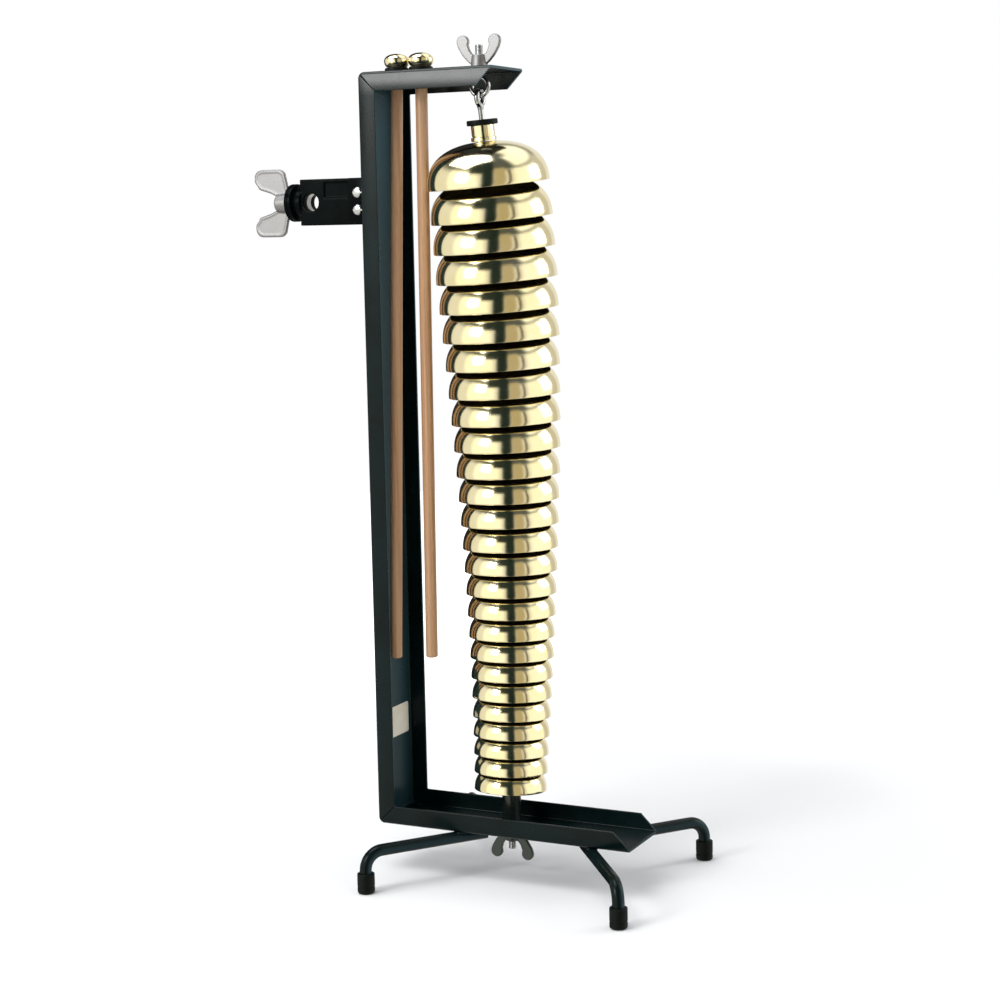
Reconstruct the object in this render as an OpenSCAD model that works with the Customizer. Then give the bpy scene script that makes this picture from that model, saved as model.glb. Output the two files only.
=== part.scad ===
// Bell tree: nested brass bells on a bowed rod, held in a folded steel frame on four bent legs.
// Millimetres, +Z up. X runs from the upright towards the bells, Y runs across the channel.
// The origin lies on the floor, under the middle of the outline seen from above.

/* [Frame] */
// Height of the frame's top face above the floor
frame_h = 632; // [620:1:650]
// Width of the folded steel channel
channel_w = 58; // [56:1:62]
// Depth of the channel's flanges
flange_d = 15; // [13:0.5:16]
// Thickness of the channel's sheet
sheet_t = 2; // [1.5:0.1:2.5]
// Length of the top arm from the upright's outer face
top_arm_len = 113.5; // [110:0.5:118]
// Length of the base from the upright's outer face
base_len = 218; // [212:1:226]
// Height of the base's underside above the floor
base_z = 37; // [36:0.5:40]
// Length by which the flanges slope back at a free end
end_slope = 13; // [8:1:15]
// Outer radius of the frame's two corners
corner_r = 5; // [3:0.5:8]

/* [Legs] */
// Diameter of the leg rods
leg_d = 9.4; // [8:0.2:10]
// Distance of each foot from the centre line
foot_y = 90; // [84:0.5:98]
// Distance of the two feet under the upright from its outer face
foot_near_x = 22.5; // [18:0.5:26]
// Distance of the two feet at the base's free end from the upright's outer face
foot_far_x = 235; // [230:1:240]
// Centre line radius of the bend above each foot
leg_bend_r = 14; // [12:1:16]
// Diameter of the rubber tips
tip_d = 13.6; // [12:0.2:15]
// Height of the rubber tips
tip_h = 16; // [12:1:17]

/* [Bells] */
// Number of bells
bell_count = 26; // [26:1:26]
// Diameter of the largest bells' rims
largest_d = 94.4; // [92:0.1:95]
// Diameter of the smallest bell's rim
smallest_d = 57.2; // [56:0.1:59]
// Bell height as a share of the rim's radius
dome_share = 0.7; // [0.66:0.01:0.74]
// Fullness of the dome: 2 is an ellipse, more is squarer
dome_fullness = 2.4; // [2:0.1:3]
// Wall thickness of the bells
bell_t = 1.3; // [1:0.1:1.6]
// Spacing of neighbouring rims as a share of their mean diameter
pitch_share = 0.246; // [0.243:0.001:0.248]
// Height of the top bell's rim above the floor
top_rim_z = 544; // [543:0.1:545]
// Further space between the first two rims
first_extra = 3.1; // [2:0.1:4]

/* [Spine] */
// Distance of the rod's foot from the upright's outer face
stud_x = 106; // [104:0.1:108]
// Height above the floor at which the rod's foot meets its stud
bow_foot_z = 84; // [83:0.1:85]
// Greatest distance of the bowed rod from the line between its ends
bow_rise = 12; // [8:0.5:14]
// Direction of the bow, turned from X towards Y
bow_turn = 70; // [55:1:80]
// Diameter of the rod through the bells
rod_d = 4; // [3.6:0.1:4.4]
// Diameter of the threaded ends
stud_d = 6; // [5.6:0.1:6.4]
// Distance of the hanger's hole in the top arm from the upright's outer face
hanger_x = 91; // [90:0.1:93]

/* [Mallets] */
// Diameter of the mallet shafts
shaft_d = 9.5; // [9:0.1:10]
// Overall length of a mallet
mallet_len = 476; // [440:1:500]
// Diameter of the brass heads
head_d = 19.8; // [18:0.2:20]
// Height of the brass heads
head_h = 10; // [8:0.5:11]
// Distance of the inner mallet's hole from the upright's outer face
inner_mallet_x = 19.3; // [19:0.1:19.4]
// Distance of the outer mallet's hole from the upright's outer face
outer_mallet_x = 40.5; // [40.4:0.1:41]

/* [Rod clamp] */
// Height of the clamp's centre line above the floor
clamp_z = 534; // [480:1:560]
// Diameter of the hole that takes a stand's rod
clamp_bore_d = 14; // [13:0.1:14.4]
// Thickness of the clamp's body
clamp_w = 18; // [16:1:20]
// Height of the clamp's body
clamp_h = 36.5; // [34:0.5:40]
// Distance of the clamp body's end from the upright's outer face
clamp_len = 67; // [67:1:71]

/* [Hidden] */
$fn = 64;
fit_gap = 0.1;
turn_gap = 0.35;

web_top_z = base_z + sheet_t;
arm_under_z = frame_h - sheet_t;
corner_zone = 40;

leg_z = base_z - leg_d / 2;
leg_root_y = 6;
near_meet_x = 90;
far_meet_x = 167;
tip_floor_t = 3;
tip_edge_r = 2;

size_start_d = largest_d + 4.55;
size_curve = 0.909;
size_wave = 0.388;
dome_steps = 12;
bell_bore_r = rod_d / 2 + turn_gap;

collar_h = 12;
collar_waist_r = 9;
collar_foot_r = 9.8;
collar_foot_h = 3;
collar_washer_r = 12;
collar_washer_h = 4.15;

eye_wire_d = 4;
eye_mean_r = 7;
eye_z = 618.5;
hook_wire_d = 4.2;
hook_mean_r = 5.5;
stud_top_z = 649.5;
stud_bottom_z = 20;

sleeve_d = 15;
sleeve_clear = 1.6;
spacer_d = 9;

nut_span = 37;
nut_h = 24;
nut_hub_h = 9;
nut_hub_r = 6.5;
nut_hub_top_r = 5.2;
nut_wing_t = 3.4;
nut_tip_r = 5;
nut_wing_z = 1.5;
washer_t = 1.2;
washer_r = 8;

grommet_rise = 4;
grommet_r = 9.4;
grommet_hole_r = 6.6;
grommet_lower_r = 8.2;
grommet_drop = 2;
shaft_slack = 0.5;
head_gap = 0.45;
inner_lean = [-7.4, -13.6];
outer_lean = [-3.1, 0];
shaft_end_r = 1.5;
head_edge_r = 3;
head_cap_t = 3;

bore_inset = 10;
eye_ring_r = 9.4;
eye_ring_t = 6;
eye_slack = 0.25;
eye_play = 0.2;
eye_travel = 1.5;
bolt_d = 8;
boss_r = 12;
boss_len = 4;
cup_r = 15;
cup_len = 8;
cup_neck_r = 11;
cup_neck_len = 2;
clamp_nut_gap = 0.1;
clamp_nut_hub_len = 14;
clamp_nut_hub_r = 8;
clamp_nut_len = 35;
clamp_nut_span = 54;
clamp_wing_t = 4;
clamp_wing_r = 7;
clamp_wing_foot = 5;
ear_len = 21;
ear_t = 2.5;
bracket_base_t = 3;
clamp_screw_x = 12;
clamp_screw_rise = 6.75;
clamp_screw_d = 5;
clamp_screw_head_r = 4.3;
clamp_screw_head_top_r = 2.9;
clamp_screw_head_h = 2.6;
clamp_screw_nut_t = 4;
pocket_size = [22, 1.5, 12];
pocket_inset = 1.5;
pocket_lift = 3.5;

label_w = 33;
label_h = 25;
label_t = 0.3;
label_y = 5.5;
label_z = 114.3;

bore_x = clamp_len - bore_inset;
clamp_nut_x = clamp_len + boss_len + cup_len + clamp_nut_gap;
clamp_reach = clamp_nut_x + clamp_nut_len;
centre_x = (foot_far_x + tip_d / 2 - clamp_reach) / 2;

// The bow is an arc over the chord between the rod's ends; lengths run along the chord from its middle.
hook_centre_z = eye_z - eye_mean_r + (eye_wire_d + hook_wire_d) / 2 - hook_mean_r;
bow_head_z = hook_centre_z - hook_mean_r;
bow_middle = [(stud_x + hanger_x) / 2, 0, (bow_foot_z + bow_head_z) / 2];
bow_chord = norm([stud_x - hanger_x, bow_head_z - bow_foot_z]);
bow_lean = atan((stud_x - hanger_x) / (bow_head_z - bow_foot_z));
bow_r = pow(bow_chord, 2) / (8 * bow_rise) + bow_rise / 2;

// Rules for the bells: rim diameter, dome height, place of rim and crown along the chord.
function size_share(t) = size_wave * (1 - cos(180 * t)) / 2 + (1 - size_wave) * t;
function bell_d(i) = min(
    largest_d,
    size_start_d + (smallest_d - size_start_d) * size_share(pow(i / (bell_count - 1), size_curve))
);
function dome_h(i) = dome_share * bell_d(i) / 2;
function rim_s(i) = i == 0
    ? (top_rim_z - bow_middle[2]) / cos(bow_lean)
    : rim_s(i - 1) - pitch_share * (bell_d(i - 1) + bell_d(i)) / 2 - (i == 1 ? first_extra : 0);
function crown_s(i) = rim_s(i) + dome_h(i);
function leg_root(foot_x, meet_x) = [meet_x + (foot_x - meet_x) * leg_root_y / foot_y, leg_root_y];
function two_digits(n) = n < 10 ? str("0", n) : str(n);
function bell_name(i) = str("bell_", two_digits(i + 1));

// The start of a dome's outline: from the rim up, for rim radius r and height h.
function dome_points(r, h) = [
    for (k = [0 : dome_steps - 1])
    let (a = 90 * k / dome_steps)
    [r * pow(cos(a), 2 / dome_fullness), h * pow(sin(a), 2 / dome_fullness)]
];
function reversed(list) = [for (k = [len(list) - 1 : -1 : 0]) list[k]];

first_crown = crown_s(0);
last_hollow = crown_s(bell_count - 1) - bell_t;
sleeve_top_z = bow_middle[2] + last_hollow * cos(bow_lean) - sleeve_clear;
rod_end_depth = 3;
bow_end_s = (sleeve_top_z - rod_end_depth - bow_middle[2]) / cos(bow_lean);
bow_end_a = asin(bow_end_s / bow_r);
bow_start_a = asin(bow_chord / 2 / bow_r);

// Moves what is drawn from the upright's outer face to the part's own origin.
module placed() {
    translate([-centre_x, 0, 0]) children();
}

// Puts its children at the bow's centre, with X towards its outermost point and Z along its chord.
module at_bow_centre() {
    translate(bow_middle)
        rotate([0, -bow_lean, 0])
            rotate([0, 0, bow_turn])
                translate([bow_rise - bow_r, 0, 0]) children();
}

// Puts its children on the bow at length s from the chord's middle, with Z along the rod.
module on_bow(s) {
    at_bow_centre() rotate([0, -asin(s / bow_r), 0]) translate([bow_r, 0, 0]) children();
}

// Stands a flat XZ outline up as a plate from y0 to y0 + t.
module side_plate(y0, t) {
    translate([0, y0 + t, 0]) rotate([90, 0, 0]) linear_extrude(height = t) children();
}

// The frame seen from the side, as a C-shaped strip of the given depth.
module c_strip(depth) {
    r_in = max(corner_r - depth, 0.5);
    difference() {
        rounded_corners(0, base_z, frame_h, corner_r);
        rounded_corners(depth, base_z + depth, frame_h - depth, r_in);
    }
}

// A rectangle running right from x, with its two left corners rounded.
module rounded_corners(x, z0, z1, r) {
    translate([x + r, z0]) square([base_len + 1, z1 - z0]);
    translate([x, z0 + r]) square([base_len + 1, z1 - z0 - 2 * r]);
    translate([x + r, z0 + r]) circle(r = r);
    translate([x + r, z1 - r]) circle(r = r);
}

// Keeps the part of a side outline that belongs to one of the three channels.
module upright_side() {
    m = corner_zone;
    intersection() {
        children();
        polygon([[-1, base_z - 1], [m, base_z + m], [m, frame_h - m], [-1, frame_h + 1]]);
    }
}
module top_arm_side(free_x, slope) {
    m = corner_zone;
    intersection() {
        children();
        polygon([[-1, frame_h + 1], [m, frame_h - m], [free_x - slope, frame_h - m],
                 [free_x - slope, frame_h - flange_d], [free_x, frame_h - sheet_t], [free_x, frame_h + 1]]);
    }
}
module base_side(free_x, slope) {
    m = corner_zone;
    intersection() {
        children();
        polygon([[-1, base_z - 1], [m, base_z + m], [free_x - slope, base_z + m],
                 [free_x - slope, base_z + flange_d], [free_x, base_z + sheet_t], [free_x, base_z - 1]]);
    }
}

module upright_channel() {
    placed() color("darkslategray") {
        side_plate(-channel_w / 2, channel_w) upright_side() c_strip(sheet_t);
        for (y = [-channel_w / 2, channel_w / 2 - sheet_t])
            side_plate(y, sheet_t) upright_side() c_strip(flange_d);
    }
}

module top_arm_channel() {
    placed() color("darkslategray") difference() {
        union() {
            side_plate(-channel_w / 2, channel_w) top_arm_side(top_arm_len, 0) c_strip(sheet_t);
            for (y = [-channel_w / 2, channel_w / 2 - sheet_t])
                side_plate(y, sheet_t) top_arm_side(top_arm_len, end_slope) c_strip(flange_d);
        }
        for (x = [inner_mallet_x, outer_mallet_x])
            translate([x, 0, arm_under_z - 1]) cylinder(r = grommet_hole_r, h = sheet_t + 2);
        translate([hanger_x, 0, arm_under_z - 1]) cylinder(d = stud_d + 2 * turn_gap, h = sheet_t + 2);
    }
}

module base_channel() {
    placed() color("darkslategray") difference() {
        union() {
            side_plate(-channel_w / 2, channel_w) base_side(base_len, 0) c_strip(sheet_t);
            for (y = [-channel_w / 2, channel_w / 2 - sheet_t])
                side_plate(y, sheet_t) base_side(base_len, end_slope) c_strip(flange_d);
        }
        translate([stud_x, 0, base_z - 1]) cylinder(d = stud_d + 2 * turn_gap, h = sheet_t + 2);
    }
}

// Each leg runs level from its weld under the base, bends down and ends inside its rubber tip.
module leg(foot_x, meet_x, side) {
    root = leg_root(foot_x, meet_x);
    run = [foot_x - root[0], foot_y - root[1]];
    reach = norm(run);
    placed() color("darkslategray")
        translate([root[0], side * root[1], leg_z])
            rotate([0, 0, side * atan2(run[1], run[0])]) {
                rotate([0, 90, 0]) cylinder(d = leg_d, h = reach - leg_bend_r);
                translate([reach - leg_bend_r, 0, -leg_bend_r])
                    rotate([90, 0, 0])
                        rotate_extrude(angle = 90) translate([leg_bend_r, 0]) circle(d = leg_d);
                translate([reach, 0, tip_floor_t - leg_z])
                    cylinder(d = leg_d, h = leg_z - leg_bend_r - tip_floor_t);
            }
}

// One rubber tip with a soft bottom edge and a blind hole for the leg.
module rubber_tip() {
    r = tip_d / 2;
    difference() {
        rotate_extrude() {
            square([r - tip_edge_r, tip_h]);
            translate([0, tip_edge_r]) square([r, tip_h - tip_edge_r]);
            translate([r - tip_edge_r, tip_edge_r]) circle(r = tip_edge_r);
        }
        translate([0, 0, tip_floor_t]) cylinder(d = leg_d, h = tip_h);
    }
}

module rubber_tips() {
    placed() color("black")
        for (x = [foot_near_x, foot_far_x], y = [-foot_y, foot_y])
            translate([x, y, 0]) rubber_tip();
}

module blank_label() {
    placed() color("ivory")
        translate([sheet_t, label_y - label_w / 2, label_z - label_h / 2])
            cube([label_t, label_w, label_h]);
}

// A wing nut that stands on z = 0 with its wings rising along X.
module wing_nut() {
    tip_x = nut_span / 2 - nut_tip_r;
    tip_z = nut_h - nut_tip_r;
    root_x = nut_hub_top_r - 1.8;
    difference() {
        union() {
            cylinder(r1 = nut_hub_r, r2 = nut_hub_top_r, h = nut_hub_h);
            for (m = [0, 1]) mirror([m, 0, 0])
                side_plate(-nut_wing_t / 2, nut_wing_t) {
                    polygon([[root_x, nut_wing_z], [nut_hub_r - 0.4, nut_wing_z],
                             [tip_x + 0.88 * nut_tip_r, tip_z - 0.48 * nut_tip_r],
                             [tip_x - 0.92 * nut_tip_r, tip_z + 0.4 * nut_tip_r],
                             [root_x, nut_hub_h]]);
                    translate([tip_x, tip_z]) circle(r = nut_tip_r);
                }
        }
        translate([0, 0, -1]) cylinder(r = stud_d / 2 + fit_gap, h = nut_h + 2);
    }
}

module washer() {
    difference() {
        cylinder(r = washer_r, h = washer_t);
        translate([0, 0, -1]) cylinder(r = stud_d / 2 + turn_gap, h = washer_t + 2);
    }
}

module upper_washer() {
    placed() color("silver") translate([hanger_x, 0, frame_h]) washer();
}

module upper_wing_nut() {
    placed() color("silver") translate([hanger_x, 0, frame_h + washer_t]) wing_nut();
}

// The eye that hangs under the top arm, with its threaded shank through the arm.
module hanger_eye() {
    placed() color("silver") translate([hanger_x, 0, 0]) {
        translate([0, 0, eye_z + eye_mean_r])
            cylinder(d = stud_d, h = stud_top_z - eye_z - eye_mean_r);
        translate([0, 0, eye_z])
            rotate([90, 0, 0]) rotate_extrude() translate([eye_mean_r, 0]) circle(d = eye_wire_d);
    }
}

// The bowed rod: a ring hooked through the eye, the rod through the bells, and a straight lower stud.
module bowed_rod() {
    placed() color("silver") {
        translate([hanger_x, 0, hook_centre_z])
            rotate([0, 90, 0]) rotate_extrude() translate([hook_mean_r, 0]) circle(d = hook_wire_d);
        at_bow_centre()
            rotate([90, 0, 0])
                rotate([0, 0, bow_end_a])
                    rotate_extrude(angle = bow_start_a - bow_end_a, $fn = 3600)
                        translate([bow_r, 0]) circle(d = rod_d, $fn = 48);
        translate([stud_x, 0, stud_bottom_z]) cylinder(d = stud_d, h = sleeve_top_z - stud_bottom_z);
    }
}

module top_collar() {
    placed() color("goldenrod") on_bow(first_crown + turn_gap)
        difference() {
            rotate_extrude() {
                square([collar_foot_r, collar_foot_h]);
                square([collar_waist_r, collar_h]);
            }
            translate([0, 0, -1]) cylinder(r = rod_d / 2 + fit_gap, h = collar_h + 2);
        }
}

module collar_washer() {
    placed() color("black") on_bow(first_crown + turn_gap)
        difference() {
            translate([0, 0, collar_h]) cylinder(r = collar_washer_r, h = collar_washer_h);
            cylinder(r = rod_d / 2 + fit_gap, h = collar_h + collar_washer_h + 1);
        }
}

// Tubes on the rod that keep neighbouring bells apart.
module bell_spacers() {
    placed() color("black")
        for (i = [0 : bell_count - 2]) {
            upper = crown_s(i) - bell_t - turn_gap;
            lower = crown_s(i + 1) + turn_gap;
            on_bow((upper + lower) / 2) difference() {
                cylinder(d = spacer_d, h = upper - lower, center = true);
                cylinder(r = rod_d / 2 + fit_gap, h = upper - lower + 2, center = true);
            }
        }
}

// One bell, mouth down, with the top of its crown on the bow.
module bell(i) {
    r = bell_d(i) / 2;
    h = dome_h(i);
    placed() color("gold") on_bow(crown_s(i)) translate([0, 0, -h])
        rotate_extrude($fn = 96)
            polygon(concat(
                dome_points(r, h),
                [[bell_bore_r, h], [bell_bore_r, h - bell_t]],
                reversed(dome_points(r - bell_t, h - bell_t))
            ));
}

module lower_sleeve() {
    placed() color("dimgray") translate([stud_x, 0, web_top_z])
        difference() {
            cylinder(d = sleeve_d, h = sleeve_top_z - web_top_z);
            translate([0, 0, -1]) cylinder(r = stud_d / 2 + fit_gap, h = sleeve_top_z - web_top_z + 2);
        }
}

module lower_washer() {
    placed() color("silver") translate([stud_x, 0, base_z - washer_t]) washer();
}

module lower_wing_nut() {
    placed() color("silver") translate([stud_x, 0, base_z - washer_t]) rotate([180, 0, 0]) wing_nut();
}

// The rod clamp points away from the bells; along() turns Z to run outwards from the upright.
module along(x) {
    translate([-x, 0, clamp_z]) rotate([0, -90, 0]) children();
}

module clamp_bracket() {
    ear_y = clamp_w / 2 + fit_gap;
    placed() color("black") difference() {
        union() {
            translate([-bracket_base_t, -ear_y - ear_t, clamp_z - clamp_h / 2])
                cube([bracket_base_t, 2 * (ear_y + ear_t), clamp_h]);
            for (y = [-ear_y - ear_t, ear_y])
                translate([-ear_len, y, clamp_z - clamp_h / 2])
                    cube([ear_len, ear_t, clamp_h]);
        }
        clamp_screw_holes();
    }
}

module clamp_screw_holes() {
    for (z = [clamp_z - clamp_screw_rise, clamp_z + clamp_screw_rise])
        translate([-clamp_screw_x, clamp_w, z])
            rotate([90, 0, 0]) cylinder(r = clamp_screw_d / 2 + fit_gap, h = 2 * clamp_w);
}

module clamp_body() {
    slot_w = eye_ring_t + 2 * eye_slack;
    slot_h = 2 * (eye_ring_r + eye_slack);
    slot_end = bore_x + eye_ring_r + eye_travel + eye_slack;
    placed() color("black") difference() {
        union() {
            translate([-clamp_len, -clamp_w / 2, clamp_z - clamp_h / 2])
                cube([clamp_len - bracket_base_t - fit_gap, clamp_w, clamp_h]);
            along(clamp_len - 1) cylinder(r = boss_r, h = boss_len + 1);
        }
        translate([-bore_x, clamp_w, clamp_z])
            rotate([90, 0, 0]) cylinder(d = clamp_bore_d, h = 2 * clamp_w);
        translate([-slot_end, -slot_w / 2, clamp_z - slot_h / 2])
            cube([slot_end - bore_x + eye_ring_r + eye_slack, slot_w, slot_h]);
        along(bore_x) cylinder(r = bolt_d / 2 + fit_gap, h = clamp_len);
        clamp_screw_holes();
        for (y = [-clamp_w / 2 - 1, clamp_w / 2 - pocket_size[1]])
            translate([-ear_len - pocket_size[0] - pocket_inset, y, clamp_z + pocket_lift])
                cube([pocket_size[0], pocket_size[1] + 1, pocket_size[2]]);
    }
}

// Two round-headed screws through the bracket's ears and the clamp body, with their nuts.
module clamp_screws() {
    out_y = clamp_w / 2 + fit_gap + ear_t;
    nut_y = out_y + clamp_screw_nut_t;
    placed() color("silver")
        for (z = [clamp_z - clamp_screw_rise, clamp_z + clamp_screw_rise])
            translate([-clamp_screw_x, 0, z]) rotate([90, 0, 0]) {
                translate([0, 0, -nut_y]) cylinder(d = clamp_screw_d, h = nut_y + out_y + 0.5);
                translate([0, 0, out_y])
                    cylinder(r1 = clamp_screw_head_r, r2 = clamp_screw_head_top_r, h = clamp_screw_head_h);
                translate([0, 0, -nut_y])
                    cylinder(r = clamp_screw_head_r, h = clamp_screw_nut_t, $fn = 6);
            }
}

module clamp_eye_bolt() {
    bolt_start = bore_x + eye_ring_r + 0.5;
    bolt_end = clamp_nut_x + clamp_nut_hub_len - 0.5;
    placed() color("silver") difference() {
        union() {
            translate([-bore_x, eye_ring_t / 2, clamp_z])
                rotate([90, 0, 0]) cylinder(r = eye_ring_r, h = eye_ring_t);
            along(bore_x + eye_ring_r - 1)
                cylinder(d = eye_ring_t, h = eye_travel + 1);
            along(bolt_start) cylinder(d = bolt_d, h = bolt_end - bolt_start);
        }
        translate([-bore_x, clamp_w, clamp_z])
            rotate([90, 0, 0]) cylinder(d = clamp_bore_d + 2 * eye_play, h = 2 * clamp_w);
    }
}

module clamp_cup() {
    placed() color("black") along(clamp_len + boss_len)
        difference() {
            union() {
                cylinder(r = cup_neck_r, h = cup_neck_len);
                translate([0, 0, cup_neck_len]) cylinder(r = cup_r, h = cup_len - cup_neck_len);
            }
            translate([0, 0, -1]) cylinder(r = bolt_d / 2 + turn_gap, h = cup_len + 2);
        }
}

// The big cast wing nut, with its two broad wings standing up and down.
module clamp_wing_nut() {
    wing_x = clamp_nut_span / 2 - clamp_wing_r;
    near = clamp_wing_foot + clamp_wing_r;
    far = clamp_nut_len - clamp_wing_r;
    root_x = bolt_d / 2 + 1;
    placed() color("whitesmoke") along(clamp_nut_x)
        difference() {
            union() {
                cylinder(r1 = clamp_nut_hub_r, r2 = clamp_nut_hub_r - 1, h = clamp_nut_hub_len);
                for (m = [0, 1]) mirror([m, 0, 0])
                    side_plate(-clamp_wing_t / 2, clamp_wing_t) {
                        polygon([[root_x, 2], [wing_x, clamp_wing_foot],
                                 [clamp_nut_span / 2, near], [clamp_nut_span / 2, far],
                                 [wing_x, clamp_nut_len], [root_x + 2, clamp_nut_len - 3],
                                 [root_x, clamp_nut_hub_len]]);
                        translate([wing_x, near]) circle(r = clamp_wing_r);
                        translate([wing_x, far]) circle(r = clamp_wing_r);
                    }
            }
            translate([0, 0, -1]) cylinder(r = bolt_d / 2 + fit_gap, h = clamp_nut_hub_len + 2);
        }
}

// One rubber grommet, snapped into a mallet hole of the top arm.
module grommet() {
    difference() {
        union() {
            translate([0, 0, frame_h]) cylinder(r = grommet_r, h = grommet_rise);
            translate([0, 0, arm_under_z - 0.5]) cylinder(r = grommet_hole_r, h = sheet_t + 1);
            translate([0, 0, arm_under_z - grommet_drop])
                cylinder(r = grommet_lower_r, h = grommet_drop);
        }
        translate([0, 0, arm_under_z - grommet_drop - 1])
            cylinder(r = shaft_d / 2 + shaft_slack, h = sheet_t + grommet_rise + grommet_drop + 2);
    }
}

module mallet_grommets() {
    placed() color("black")
        for (x = [inner_mallet_x, outer_mallet_x]) translate([x, 0, 0]) grommet();
}

// Puts its children at the underside of a mallet's head, with Z up the leaning shaft.
module on_mallet(x, lean) {
    placed() translate([x, 0, frame_h + grommet_rise + head_gap])
        rotate([0, atan(-lean[0] / mallet_len), 0])
            rotate([atan(lean[1] / mallet_len), 0, 0]) children();
}

module mallet_shaft(x, lean) {
    r = shaft_d / 2;
    color("peru") on_mallet(x, lean)
        translate([0, 0, head_h - mallet_len])
            rotate_extrude() {
                translate([0, shaft_end_r]) square([r, mallet_len - head_cap_t - shaft_end_r]);
                square([r - shaft_end_r, shaft_end_r]);
                translate([r - shaft_end_r, shaft_end_r]) circle(r = shaft_end_r);
            }
}

module mallet_head(x, lean) {
    r = head_d / 2;
    color("goldenrod") on_mallet(x, lean)
        difference() {
            rotate_extrude() {
                square([r - head_edge_r, head_h]);
                translate([0, head_edge_r]) square([r, head_h - 2 * head_edge_r]);
                translate([r - head_edge_r, head_edge_r]) circle(r = head_edge_r);
                translate([r - head_edge_r, head_h - head_edge_r]) circle(r = head_edge_r);
            }
            translate([0, 0, -1]) cylinder(d = shaft_d, h = head_h - head_cap_t + 1);
        }
}

upright_channel();
top_arm_channel();
base_channel();
leg(foot_near_x, near_meet_x, -1);  // front_near_leg
leg(foot_far_x, far_meet_x, -1);  // front_far_leg
leg(foot_near_x, near_meet_x, 1);  // back_near_leg
leg(foot_far_x, far_meet_x, 1);  // back_far_leg
rubber_tips();
blank_label();
hanger_eye();
upper_washer();
upper_wing_nut();
bowed_rod();
top_collar();
collar_washer();
bell_spacers();
for (i = [0 : bell_count - 1]) {
    bell(i);
}
lower_sleeve();
lower_washer();
lower_wing_nut();
clamp_bracket();
clamp_body();
clamp_screws();
clamp_eye_bolt();
clamp_cup();
clamp_wing_nut();
mallet_grommets();
mallet_shaft(inner_mallet_x, inner_lean);  // inner_mallet_shaft
mallet_head(inner_mallet_x, inner_lean);  // inner_mallet_head
mallet_shaft(outer_mallet_x, outer_lean);  // outer_mallet_shaft
mallet_head(outer_mallet_x, outer_lean);  // outer_mallet_head
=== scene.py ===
# %% [markdown]
# # A bell tree on its stand
#
# The real object is a row of nested brass bells, threaded mouth down on a slightly bowed rod. A folded and
# painted steel channel holds the rod between its arm and its base, four bent legs carry the base, and a
# rod clamp, two mallets and three wing nuts complete it. This lesson dresses a packed construction model:
# the sizes below are the construction's own, so each piece lands where the model says it is.

import math

import bmesh
import bpy
from mathutils import Matrix, Vector


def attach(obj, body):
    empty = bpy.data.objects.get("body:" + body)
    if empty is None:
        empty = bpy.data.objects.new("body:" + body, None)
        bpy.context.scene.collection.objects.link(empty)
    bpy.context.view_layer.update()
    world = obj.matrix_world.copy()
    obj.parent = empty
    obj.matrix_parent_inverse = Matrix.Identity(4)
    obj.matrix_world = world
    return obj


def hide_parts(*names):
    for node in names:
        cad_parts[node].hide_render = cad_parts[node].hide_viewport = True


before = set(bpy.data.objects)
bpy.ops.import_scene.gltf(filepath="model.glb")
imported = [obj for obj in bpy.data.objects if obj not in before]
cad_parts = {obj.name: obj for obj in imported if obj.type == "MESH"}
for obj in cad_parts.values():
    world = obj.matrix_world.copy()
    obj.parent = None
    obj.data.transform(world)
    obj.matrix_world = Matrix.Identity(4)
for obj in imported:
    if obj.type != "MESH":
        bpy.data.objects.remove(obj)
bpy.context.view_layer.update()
MM = 0.001

# %% [markdown]
# ## Sizes
#
# A maker writes down a few driving sizes and lets rules give the rest. Every bell follows from its number:
# a soft wave gives its diameter, a fixed share gives its height, and the rims follow one another down the
# bow at a fixed share of their diameter. The rod bows sideways from the line between its ends. All lengths
# are in millimetres until a piece is finished.

# %% Driving sizes and the rules for the bells
FRAME_H, CHANNEL_W, FLANGE_D, SHEET_T = 632.0, 58.0, 15.0, 2.0
ARM_LEN, BASE_LEN, BASE_Z, END_SLOPE, CORNER_R = 113.5, 218.0, 37.0, 13.0, 5.0
BELLS, LARGEST_D, SMALLEST_D, SIZE_START_D = 26, 94.4, 57.2, 98.95
DOME_SHARE, FULLNESS, BELL_T, PITCH_SHARE, TOP_RIM_Z, FIRST_EXTRA = 0.7, 2.4, 1.3, 0.246, 544.0, 3.1
SIZE_CURVE, SIZE_WAVE, TURN_GAP = 0.909, 0.388, 0.35
STUD_X, BOW_FOOT_Z, HANGER_X, BOW_HEAD_Z = 106.0, 84.0, 91.0, 604.6
BOW_RISE, BOW_TURN, ROD_D, STUD_D = 12.0, math.radians(70), 4.0, 6.0
CLAMP_Z, CLAMP_LEN, CLAMP_W, CLAMP_H = 534.0, 67.0, 18.0, 36.5
CLAMP_NUT_X, CLAMP_NUT_LEN = CLAMP_LEN + 12.1, 35.0
CENTRE_X = (235.0 + 13.6 / 2 - CLAMP_NUT_X - CLAMP_NUT_LEN) / 2

chord = Vector((STUD_X - HANGER_X, 0, BOW_HEAD_Z - BOW_FOOT_Z))
BOW_LEAN = math.atan2(chord.x, chord.z)
BOW_R = chord.length ** 2 / (8 * BOW_RISE) + BOW_RISE / 2
bow_middle = Vector(((STUD_X + HANGER_X) / 2, 0, (BOW_FOOT_Z + BOW_HEAD_Z) / 2))
bow_centre = (
    Matrix.Translation(bow_middle) @ Matrix.Rotation(-BOW_LEAN, 4, "Y") @ Matrix.Rotation(BOW_TURN, 4, "Z")
    @ Matrix.Translation((BOW_RISE - BOW_R, 0, 0))
)


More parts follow.
